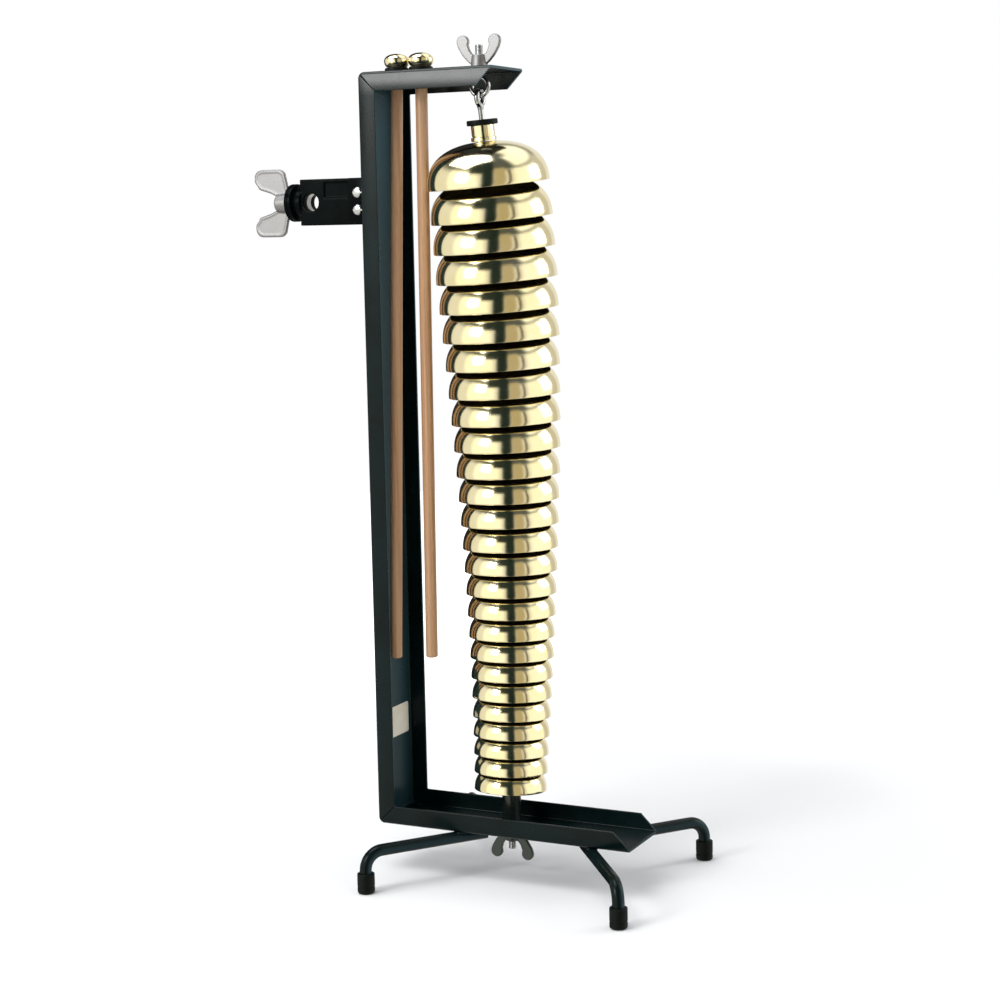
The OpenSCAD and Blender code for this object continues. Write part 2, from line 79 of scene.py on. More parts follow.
def bell_d(i):
    t = (i / (BELLS - 1)) ** SIZE_CURVE
    share = SIZE_WAVE * (1 - math.cos(math.pi * t)) / 2 + (1 - SIZE_WAVE) * t
    return min(LARGEST_D, SIZE_START_D + (SMALLEST_D - SIZE_START_D) * share)


def dome_h(i):
    return DOME_SHARE * bell_d(i) / 2


rim_s = [(TOP_RIM_Z - bow_middle.z) / math.cos(BOW_LEAN)]
for i in range(1, BELLS):
    extra = FIRST_EXTRA if i == 1 else 0
    rim_s.append(rim_s[-1] - PITCH_SHARE * (bell_d(i - 1) + bell_d(i)) / 2 - extra)
crown_s = [rim_s[i] + dome_h(i) for i in range(BELLS)]


def on_bow(s):
    """The place and lean of the rod at length s along its chord, counted from the chord's middle."""
    return bow_centre @ Matrix.Rotation(-math.asin(s / BOW_R), 4, "Y") @ Matrix.Translation((BOW_R, 0, 0))


LAST_HOLLOW = crown_s[-1] - BELL_T
SLEEVE_TOP_Z = bow_middle.z + LAST_HOLLOW * math.cos(BOW_LEAN) - 1.6
print("largest bell", bell_d(0), "smallest", round(bell_d(BELLS - 1), 1), "bow radius", round(BOW_R))

# %% [markdown]
# ## The camera
#
# The photograph was taken from a little to the right of the object's front and slightly above it, with a
# long lens. The camera is set by its azimuth, elevation, small roll and place, all in the model's frame.

# %% Place the camera
AZIMUTH, ELEVATION, ROLL = math.radians(26.104), math.radians(7.552), math.radians(-1.163)
FOCAL_PIXELS, PICTURE = 2071.15, 1000
EYE = Vector((807.177 - CENTRE_X, -1441.151, 512.909))

back = Vector((
    math.sin(AZIMUTH) * math.cos(ELEVATION),
    -math.cos(AZIMUTH) * math.cos(ELEVATION),
    math.sin(ELEVATION),
))
right = Vector((math.cos(AZIMUTH), math.sin(AZIMUTH), 0))
up = back.cross(right)
axes = Matrix((right, up, back)).transposed().to_4x4()
camera_data = bpy.data.cameras.new("photo_camera")
camera_data.sensor_width = 36.0
camera_data.lens = FOCAL_PIXELS / PICTURE * camera_data.sensor_width
camera = bpy.data.objects.new("photo_camera", camera_data)
bpy.context.collection.objects.link(camera)
camera.matrix_world = Matrix.Translation(EYE * MM) @ axes @ Matrix.Rotation(ROLL, 4, "Z")
bpy.context.scene.camera = camera
print("lens", round(camera_data.lens, 1), "mm")

# %% [markdown]
# ## Numbers that flow through nodes
#
# Both materials and Geometry Nodes are graphs. Writing each Math node by hand is long, so a small class
# turns ordinary sums into nodes: adding two wires adds a Math node to the tree that they belong to.


# %% A wire through a node tree
class Wire:
    def __init__(self, tree, socket):
        self.tree, self.socket = tree, socket

    def math(self, operation, *others, clamp=False):
        node = self.tree.nodes.new("ShaderNodeMath")
        node.operation = operation
        node.use_clamp = clamp
        for slot, value in zip(node.inputs, (self, *others)):
            plug(self.tree, value, slot)
        return Wire(self.tree, node.outputs[0])

    def __add__(self, other):
        return self.math("ADD", other)

    def __sub__(self, other):
        return self.math("SUBTRACT", other)

    def __mul__(self, other):
        return self.math("MULTIPLY", other)

    def __truediv__(self, other):
        return self.math("DIVIDE", other)

    def __pow__(self, other):
        return self.math("POWER", other)

    def flip(self):
        """One minus this wire."""
        return (self * -1.0) + 1.0

    def rise(self, low, high):
        """A soft step from 0 at low to 1 at high."""
        node = self.tree.nodes.new("ShaderNodeMapRange")
        node.interpolation_type = "SMOOTHSTEP"
        plug(self.tree, self, node.inputs["Value"])
        node.inputs["From Min"].default_value = low
        node.inputs["From Max"].default_value = high
        return Wire(self.tree, node.outputs["Result"])

    def band(self, low, high, soft):
        """1 between low and high, 0 outside, with soft sides."""
        return self.rise(low - soft, low + soft) * self.rise(high - soft, high + soft).flip()


def plug(tree, value, slot):
    """Sets a socket from a wire, a socket or a plain value."""
    if isinstance(value, Wire):
        tree.links.new(value.socket, slot)
    elif isinstance(value, bpy.types.NodeSocket):
        tree.links.new(value, slot)
    else:
        slot.default_value = value


def vector(tree, x, y, z):
    node = tree.nodes.new("ShaderNodeCombineXYZ")
    for slot, value in zip(node.inputs, (x, y, z)):
        plug(tree, value, slot)
    return node.outputs[0]


def parts_of(tree, socket):
    node = tree.nodes.new("ShaderNodeSeparateXYZ")
    tree.links.new(socket, node.inputs[0])
    return [Wire(tree, output) for output in node.outputs]


print("wires ready")

# %% [markdown]
# ## Finishes
#
# Each finish starts from the Principled shader and reads Object coordinates, because every piece keeps its
# place in its mesh. Fine detail goes into colour, roughness and bump; sizes in metres are scaled up by the
# Mapping node, so that a scale of 1000 counts millimetres.


# %% Helpers for finishes
def finish_start(name, **constants):
    """A new material with its Principled shader and its Object coordinates."""
    material = bpy.data.materials.new(name)
    material.use_nodes = True
    tree = material.node_tree
    shader = tree.nodes["Principled BSDF"]
    for socket, value in constants.items():
        shader.inputs[socket.replace("_", " ")].default_value = value
    coordinates = tree.nodes.new("ShaderNodeTexCoord").outputs["Object"]
    return material, tree, shader, coordinates


def stretched(tree, coordinates, scale):
    node = tree.nodes.new("ShaderNodeMapping")
    node.inputs["Scale"].default_value = scale
    tree.links.new(coordinates, node.inputs["Vector"])
    return node.outputs["Vector"]


def noise(tree, coordinates, scale, detail=3.0, roughness=0.5):
    node = tree.nodes.new("ShaderNodeTexNoise")
    node.inputs["Scale"].default_value = scale
    node.inputs["Detail"].default_value = detail
    node.inputs["Roughness"].default_value = roughness
    tree.links.new(coordinates, node.inputs["Vector"])
    return Wire(tree, node.outputs["Fac"])


def mix_colour(tree, factor, first, second):
    node = tree.nodes.new("ShaderNodeMix")
    node.data_type = "RGBA"
    plug(tree, factor, node.inputs["Factor"])
    for slot, value in ((node.inputs["A"], first), (node.inputs["B"], second)):
        colour_slot = next(s for s in node.inputs if s.name == slot.name and s.type == "RGBA")
        plug(tree, (*value, 1.0) if isinstance(value, tuple) else value, colour_slot)
    return next(s for s in node.outputs if s.type == "RGBA")


def bump(tree, shader, height, strength, distance):
    node = tree.nodes.new("ShaderNodeBump")
    node.inputs["Strength"].default_value = strength
    node.inputs["Distance"].default_value = distance
    plug(tree, height, node.inputs["Height"])
    tree.links.new(node.outputs["Normal"], shader.inputs["Normal"])


print("finish helpers ready")

# %% [markdown]
# ### Polished brass
#
# The bells are spun and then polished on a lathe. A pale gold metal with very fine rings across the axis
# and a slow drift of colour gives that look. The insides were never polished, and their dull brown is also
# painted near-black as painted shade, so that each gap under a rim reads as shadow.


# %% Brass, outside and inside
def make_brass():
    material, tree, shader, coordinates = finish_start("polished_brass", Metallic=1.0)
    slow = noise(tree, coordinates, 38.0, 4.0, 0.6)
    rings = noise(tree, stretched(tree, coordinates, (40.0, 40.0, 2600.0)), 1.0, 2.0, 0.6)
    colour = mix_colour(tree, slow.rise(0.3, 0.7), (0.93, 0.83, 0.50), (0.96, 0.87, 0.60))
    tree.links.new(colour, shader.inputs["Base Color"])
    plug(tree, slow * 0.06 + 0.09, shader.inputs["Roughness"])
    bump(tree, shader, rings * 0.6 + slow, 0.12, 0.0004)
    return material


def make_inner_brass():
    material, tree, shader, coordinates = finish_start("unpolished_brass", Metallic=0.6)
    slow = noise(tree, coordinates, 55.0, 5.0, 0.65)
    # Near-black inside colour: unpolished brass, darkened further into painted shade for the gaps between the bells.
    colour = mix_colour(tree, slow.rise(0.35, 0.65), (0.025, 0.018, 0.009), (0.06, 0.045, 0.02))
    tree.links.new(colour, shader.inputs["Base Color"])
    plug(tree, slow * 0.2 + 0.45, shader.inputs["Roughness"])
    bump(tree, shader, slow, 0.2, 0.0005)
    return material


brass = make_brass()
# The inside finish is painted shade: the bells' insides are coloured near-black so the gaps under the rims read as
# shadow.
shaded_inner_brass = make_inner_brass()
print(brass.name, shaded_inner_brass.name)

# %% [markdown]
# ### Paint, plating, rubber, wood and paper
#
# The frame wears a green-black semi-gloss paint with a faint orange peel and a pale blue-grey painted
# reflection on what faces +X. The nuts and eyes are bright plated, but the nut under the base has a
# near-black plating as painted shade. The tips and grommets are matt rubber, the shafts oiled hardwood whose
# grain runs along the shaft, and the sticker is plain paper, a little yellowed.


# %% The other finishes
def make_paint(name, dark, light, roughness, gloss, painted_sheen=None):
    """Semi-gloss paint. A painted sheen is a pale painted reflection on what faces +X, which grows a little towards the
    top.
    """
    material, tree, shader, coordinates = finish_start(name, Specular_IOR_Level=gloss)
    patches = noise(tree, coordinates, 24.0, 4.0, 0.6)
    peel = noise(tree, coordinates, 650.0, 2.0, 0.5)
    colour = mix_colour(tree, patches.rise(0.3, 0.7), dark, light)
    # Painted reflection: faces towards +X are tinted pale blue-grey, more so towards the top, in place of the light
    # they would reflect. The top of the arm also gets a higher specular level.
    if painted_sheen:
        height = parts_of(tree, coordinates)[2]
        facing = parts_of(tree, tree.nodes.new("ShaderNodeTexCoord").outputs["Normal"])[0].rise(0.6, 0.95)
        colour = mix_colour(tree, facing * (height * 1.1 + 0.3), colour, painted_sheen)
        plug(tree, height.rise(0.612, 0.626) * 0.28 + gloss, shader.inputs["Specular IOR Level"])
    tree.links.new(colour, shader.inputs["Base Color"])
    plug(tree, patches * 0.12 + (roughness - 0.06), shader.inputs["Roughness"])
    bump(tree, shader, peel, 0.10, 0.0003)
    return material


def make_plating(name, colour, roughness):
    material, tree, shader, coordinates = finish_start(name, Metallic=1.0)
    slow = noise(tree, coordinates, 120.0, 4.0, 0.6)
    shade = tuple(0.9 * c for c in colour)
    tree.links.new(mix_colour(tree, slow.rise(0.3, 0.7), shade, colour), shader.inputs["Base Color"])
    plug(tree, slow * 0.1 + (roughness - 0.05), shader.inputs["Roughness"])
    bump(tree, shader, slow, 0.1, 0.0004)
    return material


def make_rubber():
    material, tree, shader, coordinates = finish_start("moulded_rubber", Specular_IOR_Level=0.12)
    grain = noise(tree, coordinates, 900.0, 3.0, 0.6)
    slow = noise(tree, coordinates, 90.0, 3.0, 0.6)
    colour = mix_colour(tree, slow.rise(0.3, 0.7), (0.001, 0.003, 0.002), (0.004, 0.006, 0.005))
    tree.links.new(colour, shader.inputs["Base Color"])
    plug(tree, slow * 0.15 + 0.42, shader.inputs["Roughness"])
    bump(tree, shader, grain, 0.25, 0.0002)
    return material


def make_wood():
    material, tree, shader, coordinates = finish_start("oiled_hardwood", Coat_Weight=0.25)
    shader.inputs["Coat Roughness"].default_value = 0.3
    streaks = noise(tree, stretched(tree, coordinates, (900.0, 900.0, 9.0)), 1.0, 5.0, 0.6)
    pores = noise(tree, stretched(tree, coordinates, (2600.0, 2600.0, 60.0)), 1.0, 2.0, 0.5)
    bands = noise(tree, stretched(tree, coordinates, (160.0, 160.0, 3.0)), 1.0, 3.0, 0.5)
    warm = mix_colour(tree, streaks.rise(0.3, 0.7), (0.36, 0.18, 0.085), (0.52, 0.29, 0.145))
    light = mix_colour(tree, bands.rise(0.35, 0.7), warm, (0.52, 0.31, 0.17))
    dark = mix_colour(tree, pores.rise(0.62, 0.75) * 0.5, light, (0.16, 0.07, 0.03))
    tree.links.new(dark, shader.inputs["Base Color"])
    plug(tree, streaks * 0.2 + 0.38, shader.inputs["Roughness"])
    bump(tree, shader, pores * 0.5 + streaks, 0.15, 0.0003)
    return material


def make_paper():
    material, tree, shader, coordinates = finish_start("blank_paper", Roughness=0.6)
    fibres = noise(tree, coordinates, 1400.0, 4.0, 0.7)
    stains = noise(tree, coordinates, 70.0, 3.0, 0.5)
    clean = mix_colour(tree, stains.rise(0.35, 0.75), (0.80, 0.76, 0.66), (0.72, 0.66, 0.54))
    tree.links.new(clean, shader.inputs["Base Color"])
    bump(tree, shader, fibres, 0.2, 0.0002)
    return material


# The frame paint carries a painted reflection: a pale blue-grey tint on its faces towards +X.
paint = make_paint("green_black_paint", (0.001, 0.005, 0.005), (0.002, 0.009, 0.010), 0.26, 0.14, (0.034, 0.082, 0.102))
clamp_paint = make_paint("black_casting_paint", (0.001, 0.002, 0.002), (0.003, 0.005, 0.005), 0.22, 0.03)
plating = make_plating("bright_plating", (0.46, 0.47, 0.49), 0.18)
# Painted shade: a near-black copy of the plating for the nut that sits in the shadow under the base.
dull_plating = make_plating("dull_plating", (0.06, 0.07, 0.07), 0.30)
cast_plating = make_plating("satin_cast_plating", (0.30, 0.30, 0.31), 0.50)
tube_plastic = make_paint("dark_tube_plastic", (0.006, 0.011, 0.009), (0.012, 0.018, 0.015), 0.22, 0.5)
rubber = make_rubber()
wood = make_wood()
paper = make_paper()
print("finishes:", len(bpy.data.materials))

# %% [markdown]
# ## Making pieces
#
# Three helpers cover most pieces. `grow` runs a Geometry Nodes tree and keeps its plain mesh, `turned`
# spins an outline round the Z axis as a lathe would, and `fused` melts overlapping solids into one skin
# with a voxel remesh, which gives castings their soft inner corners.


# %% Helpers for pieces
def place_mm(matrix=None):
    """From a piece's own millimetres to the model's frame in metres."""
    shift = Matrix.Translation((-CENTRE_X, 0, 0))
    return Matrix.Scale(MM, 4) @ shift @ (matrix or Matrix())


def piece_from(bm, name, material, smooth_angle=40.0):
    mesh = bpy.data.meshes.new(name)
    bm.to_mesh(mesh)
    bm.free()
    mesh.shade_smooth()
    mesh.set_sharp_from_angle(angle=math.radians(smooth_angle))
    mesh.materials.append(material)
    obj = bpy.data.objects.new(name, mesh)
    bpy.context.collection.objects.link(obj)
    return obj


def dress(obj, body, slot, *nodes):
    """The piece rides on its body and stands for its nodes, which it hides; slot is not used."""
    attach(obj, body)
    if nodes:
        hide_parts(*nodes)
    return obj


def bake_modifiers(obj):
    """Applies what is stacked on an object and keeps the result as a plain mesh."""
    evaluated = obj.evaluated_get(bpy.context.evaluated_depsgraph_get())
    mesh = bpy.data.meshes.new_from_object(evaluated)
    obj.modifiers.clear()
    obj.data = mesh
    mesh.name = obj.name
    return obj


def add_turned(bm, outline, segments=48, matrix=None):
    """Adds an outline of (radius, height) points, listed from below, spun round Z; ends on the axis close."""
    matrix = matrix or Matrix()
    rings = []
    for radius, height in outline:
        if radius < 1e-6:
            rings.append([bm.verts.new(matrix @ Vector((0, 0, height)))])
            continue
        rings.append([
            bm.verts.new(matrix @ Vector((radius * math.cos(t), radius * math.sin(t), height)))
            for t in (math.tau * k / segments for k in range(segments))
        ])
    for low, high in zip(rings, rings[1:] + rings[:1]):
        if len(low) == 1 and len(high) == 1:
            continue
        for k in range(segments):
            n = (k + 1) % segments
            corners = [low[k % len(low)], low[n % len(low)], high[n % len(high)], high[k % len(high)]]
            unique = list(dict.fromkeys(corners))
            if len(unique) > 2:
                bm.faces.new(unique)


def turned(name, outline, material, matrix, segments=48):
    bm = bmesh.new()
    add_turned(bm, outline, segments, place_mm(matrix))
    bmesh.ops.recalc_face_normals(bm, faces=bm.faces)
    return piece_from(bm, name, material)


def arc(cx, cz, r, start, end, steps=6):
    """Points of an arc in an outline, angles in degrees."""
    angles = [math.radians(start + (end - start) * k / steps) for k in range(steps + 1)]
    return [(cx + r * math.cos(a), cz + r * math.sin(a)) for a in angles]


def add_plate(bm, outline, thickness, matrix=None):
    """Adds a flat outline of (x, z) points as a plate, centred on y = 0."""
    matrix = matrix or Matrix()
    sides = [
        [bm.verts.new(matrix @ Vector((x, y, z))) for x, z in outline]
        for y in (-thickness / 2, thickness / 2)
    ]
    bm.faces.new(sides[0])
    bm.faces.new(list(reversed(sides[1])))
    for k in range(len(outline)):
        n = (k + 1) % len(outline)
        bm.faces.new([sides[0][k], sides[1][k], sides[1][n], sides[0][n]])


def fused(name, bm, voxel, material, matrix, rounds=6):
    """Melts a millimetre mesh into one skin, smooths it and puts it in its place."""
    bmesh.ops.recalc_face_normals(bm, faces=bm.faces)
    obj = piece_from(bm, name, material)
    remesh = obj.modifiers.new("melt", "REMESH")
    remesh.mode = "VOXEL"
    remesh.voxel_size = voxel
    smooth = obj.modifiers.new("soften", "SMOOTH")
    smooth.factor = 0.5
    smooth.iterations = rounds
    bake_modifiers(obj)
    obj.data.transform(place_mm(matrix))
    obj.data.shade_smooth()
    if not obj.data.materials:
        obj.data.materials.append(material)
    return obj


print("piece helpers ready")

# %% [markdown]
# ## Growing pieces with Geometry Nodes
#
# A tree that is built once can make many pieces. Its sizes are named inputs, and a modifier's inputs are
# set by their identifiers before the object is first evaluated. `grow` then keeps only the plain mesh.


# %% Helpers for Geometry Nodes
def new_tree(name, inputs):
    tree = bpy.data.node_groups.new(name, "GeometryNodeTree")
    tree.interface.new_socket(name="Geometry", in_out="OUTPUT", socket_type="NodeSocketGeometry")
    for label, kind, value in inputs:
        socket = tree.interface.new_socket(name=label, in_out="INPUT", socket_type="NodeSocket" + kind)
        if value is not None:
            socket.default_value = value
    entry = tree.nodes.new("NodeGroupInput")
    wires = {label: Wire(tree, entry.outputs[label]) for label, _, _ in inputs}
    return tree, wires


def node(tree, kind, settings=None, **inputs):
    """Adds a node; keyword names are its sockets, with _ for a space."""
    made = tree.nodes.new(kind)
    for key, value in (settings or {}).items():
        setattr(made, key, value)
    for key, value in inputs.items():
        plug(tree, value, made.inputs[key.replace("_", " ")])
    return made


def end_tree(tree, geometry, finishes):
    """Closes a tree with Realize Instances and one Set Material for each (finish, faces) pair."""
    last = node(tree, "GeometryNodeRealizeInstances", Geometry=geometry).outputs[0]
    for finish, faces in finishes:
        painted = node(tree, "GeometryNodeSetMaterial", Geometry=last, Material=finish)
        if faces is not None:
            plug(tree, faces, painted.inputs["Selection"])
        last = painted.outputs[0]
    exit_node = tree.nodes.new("NodeGroupOutput")
    tree.links.new(last, exit_node.inputs[0])


def grow(name, tree, smooth_angle=40.0, **sizes):
    obj = bpy.data.objects.new(name, bpy.data.meshes.new(name))
    modifier = obj.modifiers.new(tree.name, "NODES")
    modifier.node_group = tree
    labels = {key.replace("_", " "): value for key, value in sizes.items()}
    for item in tree.interface.items_tree:
        if item.in_out == "INPUT" and item.name in labels:
            modifier[item.identifier] = labels.pop(item.name)
    assert not labels, "no input named " + str(list(labels))
    bpy.context.collection.objects.link(obj)
    bake_modifiers(obj)
    obj.data.shade_smooth()
    obj.data.set_sharp_from_angle(angle=math.radians(smooth_angle))
    return obj


print("tree helpers ready")

# %% [markdown]
# ## The bells
#
# A bell is a thin shell of revolution. Its outline is a superellipse, a little squarer than an ellipse,
# and the same rule with a smaller radius gives the inside. Four strips make the closed skin: the outside,
# the bore, the inside and the rounded rim. Each strip is a flat grid that is bent by a formula, so 26
# bells come from one tree with different sizes.


# %% The tree of a bell
def bell_tree():
    tree, size = new_tree("bell_shell", (
        ("Rim Radius", "Float", 0.04), ("Dome Height", "Float", 0.03), ("Wall", "Float", 0.0013),
        ("Bore Radius", "Float", 0.00235), ("Fullness", "Float", 2.4), ("Segments", "Int", 96),
        ("Place", "Vector", None), ("Lean", "Vector", None), ("Outside", "Material", None), ("Inside", "Material", None),
    ))
    power = Wire(tree, node(tree, "ShaderNodeMath", {"operation": "DIVIDE"}).outputs[0])
    power.socket.node.inputs[0].default_value = 2.0
    plug(tree, size["Fullness"], power.socket.node.inputs[1])

    def strip(rows, radius_of, height_of, inner):
        grid = node(
            tree, "GeometryNodeMeshGrid", Size_X=1.0, Size_Y=1.0,
            Vertices_X=size["Segments"] + 1, Vertices_Y=rows,
        )
        u, v, _ = parts_of(tree, grid.outputs["UV Map"])
        turn = u * math.tau
        radius, height = radius_of(v), height_of(v)
        bent = node(
            tree, "GeometryNodeSetPosition", Geometry=grid.outputs["Mesh"],
            Position=vector(tree, turn.math("COSINE") * radius, turn.math("SINE") * radius, height),
        )
        marked = node(
            tree, "GeometryNodeStoreNamedAttribute", {"data_type": "BOOLEAN", "domain": "FACE"},
            Geometry=bent.outputs[0], Name="inner_side",
        )
        value = next(s for s in marked.inputs if s.name == "Value" and s.type == "BOOLEAN")
        value.default_value = inner
        return marked.outputs[0]

    def angle_end(radius):
        """The superellipse's angle at which the dome has shrunk to the bore."""
        return ((size["Bore Radius"] / radius) ** (size["Fullness"] * 0.5)).math("ARCCOSINE")

    wall = size["Wall"]
    inner_radius, inner_height = size["Rim Radius"] - wall, size["Dome Height"] - wall
    outer_end, inner_end = angle_end(size["Rim Radius"]), angle_end(inner_radius)
    crown = size["Dome Height"] * (outer_end.math("SINE") ** power)
    inner_crown = inner_height * (inner_end.math("SINE") ** power)

    outside = strip(
        30,
        lambda v: size["Rim Radius"] * ((v * outer_end).math("COSINE") ** power),
        lambda v: size["Dome Height"] * ((v * outer_end).math("SINE") ** power), False,
    )
    bore = strip(
        3, lambda v: v * 0.0 + size["Bore Radius"], lambda v: crown + (inner_crown - crown) * v, True,
    )
    inside = strip(
        24,
        lambda v: inner_radius * ((v.flip() * inner_end).math("COSINE") ** power),
        lambda v: inner_height * ((v.flip() * inner_end).math("SINE") ** power), True,
    )
    rim = strip(
        6,
        lambda v: (v * math.pi).math("COSINE") * (wall * -0.5) + (size["Rim Radius"] - wall * 0.5),
        lambda v: (v * math.pi).math("SINE") * (wall * -0.3), False,
    )
    joined = tree.nodes.new("GeometryNodeJoinGeometry")
    for part in (outside, bore, inside, rim):
        tree.links.new(part, joined.inputs[0])
    welded = node(tree, "GeometryNodeMergeByDistance", Geometry=joined.outputs[0], Distance=1e-6)
    lean = node(tree, "FunctionNodeEulerToRotation", Euler=size["Lean"])
    dropped = node(
        tree, "GeometryNodeTransform", Geometry=welded.outputs[0],
        Translation=vector(tree, 0.0, 0.0, size["Dome Height"] * -1.0),
    )
    placed = node(
        tree, "GeometryNodeTransform", Geometry=dropped.outputs[0],
        Translation=size["Place"], Rotation=lean.outputs[0],
    )
    mark = node(tree, "GeometryNodeInputNamedAttribute", {"data_type": "BOOLEAN"}, Name="inner_side")
    faces = next(s for s in mark.outputs if s.type == "BOOLEAN" and s.name == "Attribute")
    end_tree(tree, placed.outputs[0], [(size["Outside"], None), (size["Inside"], faces)])
    return tree


bell_shell = bell_tree()
print("bell tree nodes:", len(bell_shell.nodes))

# %% Grow the bells
SEGMENTS = 128
for i in range(BELLS):
    crown = on_bow(crown_s[i])
    bell = grow(
        f"polished_bell_{i + 1:02d}", bell_shell,
        Rim_Radius=bell_d(i) / 2 * MM, Dome_Height=dome_h(i) * MM, Wall=BELL_T * MM,
        Bore_Radius=(ROD_D / 2 + TURN_GAP) * MM, Fullness=FULLNESS, Segments=SEGMENTS,
        Place=tuple(place_mm(crown).translation), Lean=tuple(crown.to_euler()), Outside=brass, Inside=shaded_inner_brass,
    )
    dress(bell, f"bell_{i + 1:02d}_body", "brass", f"bell_{i + 1:02d}")
print("bells:", BELLS, "faces in the last one:", len(bell.data.polygons))

# %% [markdown]
# ## The folded frame
#
# The frame is one steel channel, notched and folded twice, so its web runs round both corners while its
# side flanges meet in mitres. A closed C-shaped section is swept along the fold: a point at depth d turns
# on a radius that is d smaller, down to a sharp mitre. That keeps one skin with soft fold edges.


# %% Sweep the channel's section round its two corners
def channel_section():
    """Points (y, d) of the section, d being the depth in from the outer face."""
    half, outer_fold, inner_fold = CHANNEL_W / 2, 2.4, 0.8
    lip = SHEET_T * 0.25
    points = []

    def corner(cy, cd, r, start, end):
        for k in range(5):
            a = math.radians(start + (end - start) * k / 4)
            points.append((cy + r * math.cos(a), cd + r * math.sin(a)))

    corner(half - outer_fold, outer_fold, outer_fold, -90, 0)
    corner(half - lip, FLANGE_D - lip, lip, 0, 90)
    corner(half - SHEET_T + lip, FLANGE_D - lip, lip, 90, 180)
    corner(half - SHEET_T - inner_fold, SHEET_T + inner_fold, inner_fold, 0, -90)
    mirrored = [(-y, d) for y, d in reversed(points)]
    return points + mirrored


def channel_stations(d, groove):
    """Points (x, z) along the fold at depth d, and whether each lies in a mitre's groove."""
    mitre = 1.1
    r = max(CORNER_R - d, mitre)
    slope = 0 if d <= SHEET_T else END_SLOPE * (d - SHEET_T) / (FLANGE_D - SHEET_T)
    stations = [((BASE_LEN - slope, BASE_Z + d), False)]
    low, high = BASE_Z + d + r, FRAME_H - d - r
    for k in range(7):
        a = math.radians(270 - 15 * k)
        stations.append(((d + r + r * math.cos(a), low + r * math.sin(a)), k == 3 and groove))
    for k in range(7):
        a = math.radians(180 - 15 * k)
        stations.append(((d + r + r * math.cos(a), high + r * math.sin(a)), k == 3 and groove))
    stations.append(((ARM_LEN - slope, FRAME_H - d), False))
    return stations


def sweep_channel():
    bm = bmesh.new()
    place = place_mm()
    columns = []
    for y, d in channel_section():
        on_side = abs(y) > CHANNEL_W / 2 - 0.1 and d > 1.5
        column = []
        for (x, z), grooved in channel_stations(d, on_side):
            inset = 0.55 * (1 if y > 0 else -1) if grooved else 0.0
            column.append(bm.verts.new(place @ Vector((x, y - inset, z))))
        columns.append(column)
    for here, after in zip(columns, columns[1:] + columns[:1]):
        for k in range(len(here) - 1):
            bm.faces.new((here[k], here[k + 1], after[k + 1], after[k]))
    bm.faces.new([column[0] for column in columns])
    bm.faces.new([column[-1] for column in reversed(columns)])
    bmesh.ops.recalc_face_normals(bm, faces=bm.faces)
    return piece_from(bm, "folded_channel", paint, 30.0)


def drill(obj, holes):
    """Cuts (x, z, diameter) holes straight down through a piece."""
    bm = bmesh.new()
    for x, z, diameter in holes:
        add_turned(bm, [(0, -6), (diameter / 2, -6), (diameter / 2, 6), (0, 6)], 48,
                   place_mm(Matrix.Translation((x, 0, z))))
    bmesh.ops.recalc_face_normals(bm, faces=bm.faces)
    cutter = piece_from(bm, "drill", paint)
    cut = obj.modifiers.new("holes", "BOOLEAN")
    cut.operation, cut.solver, cut.object = "DIFFERENCE", "EXACT", cutter
    bake_modifiers(obj)
    bpy.data.objects.remove(cutter, do_unlink=True)
    obj.data.set_sharp_from_angle(angle=math.radians(30))


MALLET_X = (19.3, 40.5)
channel = sweep_channel()
drill(channel, [(x, FRAME_H - 1, 13.2) for x in MALLET_X] + [(HANGER_X, FRAME_H - 1, 6.7), (STUD_X, BASE_Z + 1, 6.7)])
dress(channel, "frame", "frame_paint", "upright_channel", "top_arm_channel", "base_channel")
print("channel faces:", len(channel.data.polygons))

# %% [markdown]
# ## Legs, weld beads and rubber tips
#
# A leg is a straight rod, bent down near its foot. Its path is a three point line, a fillet rounds the
# bend, and a circle swept along the path makes the rod. The beads are a Geometry Nodes pattern too: small
# drops laid along a seam, each turned and sized a little differently from a fixed seed.


# %% Trees for a bent rod and for a weld
def bent_rod_tree():
    tree, size = new_tree("bent_rod", (
        ("Root", "Vector", None), ("Knee", "Vector", None), ("Foot", "Vector", None),
        ("Diameter", "Float", 0.0094), ("Bend Radius", "Float", 0.014), ("Finish", "Material", None),
    ))
    first = node(tree, "GeometryNodeCurvePrimitiveLine", Start=size["Root"], End=size["Knee"])
    second = node(tree, "GeometryNodeCurvePrimitiveLine", Start=size["Knee"], End=size["Foot"])
    points = tree.nodes.new("GeometryNodeJoinGeometry")
    tree.links.new(second.outputs[0], points.inputs[0])
    tree.links.new(first.outputs[0], points.inputs[0])
    edges = node(tree, "GeometryNodeCurveToMesh", Curve=points.outputs[0])
    joined = node(tree, "GeometryNodeMergeByDistance", Geometry=edges.outputs[0], Distance=1e-5)
    path = node(tree, "GeometryNodeMeshToCurve", Mesh=joined.outputs[0])
    bent = node(
        tree, "GeometryNodeFilletCurve", {"mode": "POLY"}, Curve=path.outputs[0], Count=14,
        Radius=size["Bend Radius"], Limit_Radius=True,
    )
    ring = node(tree, "GeometryNodeCurvePrimitiveCircle", Resolution=32, Radius=size["Diameter"] * 0.5)
    rod = node(
        tree, "GeometryNodeCurveToMesh", Curve=bent.outputs[0], Profile_Curve=ring.outputs[0], Fill_Caps=True,
    )
    end_tree(tree, rod.outputs[0], [(size["Finish"], None)])
    return tree


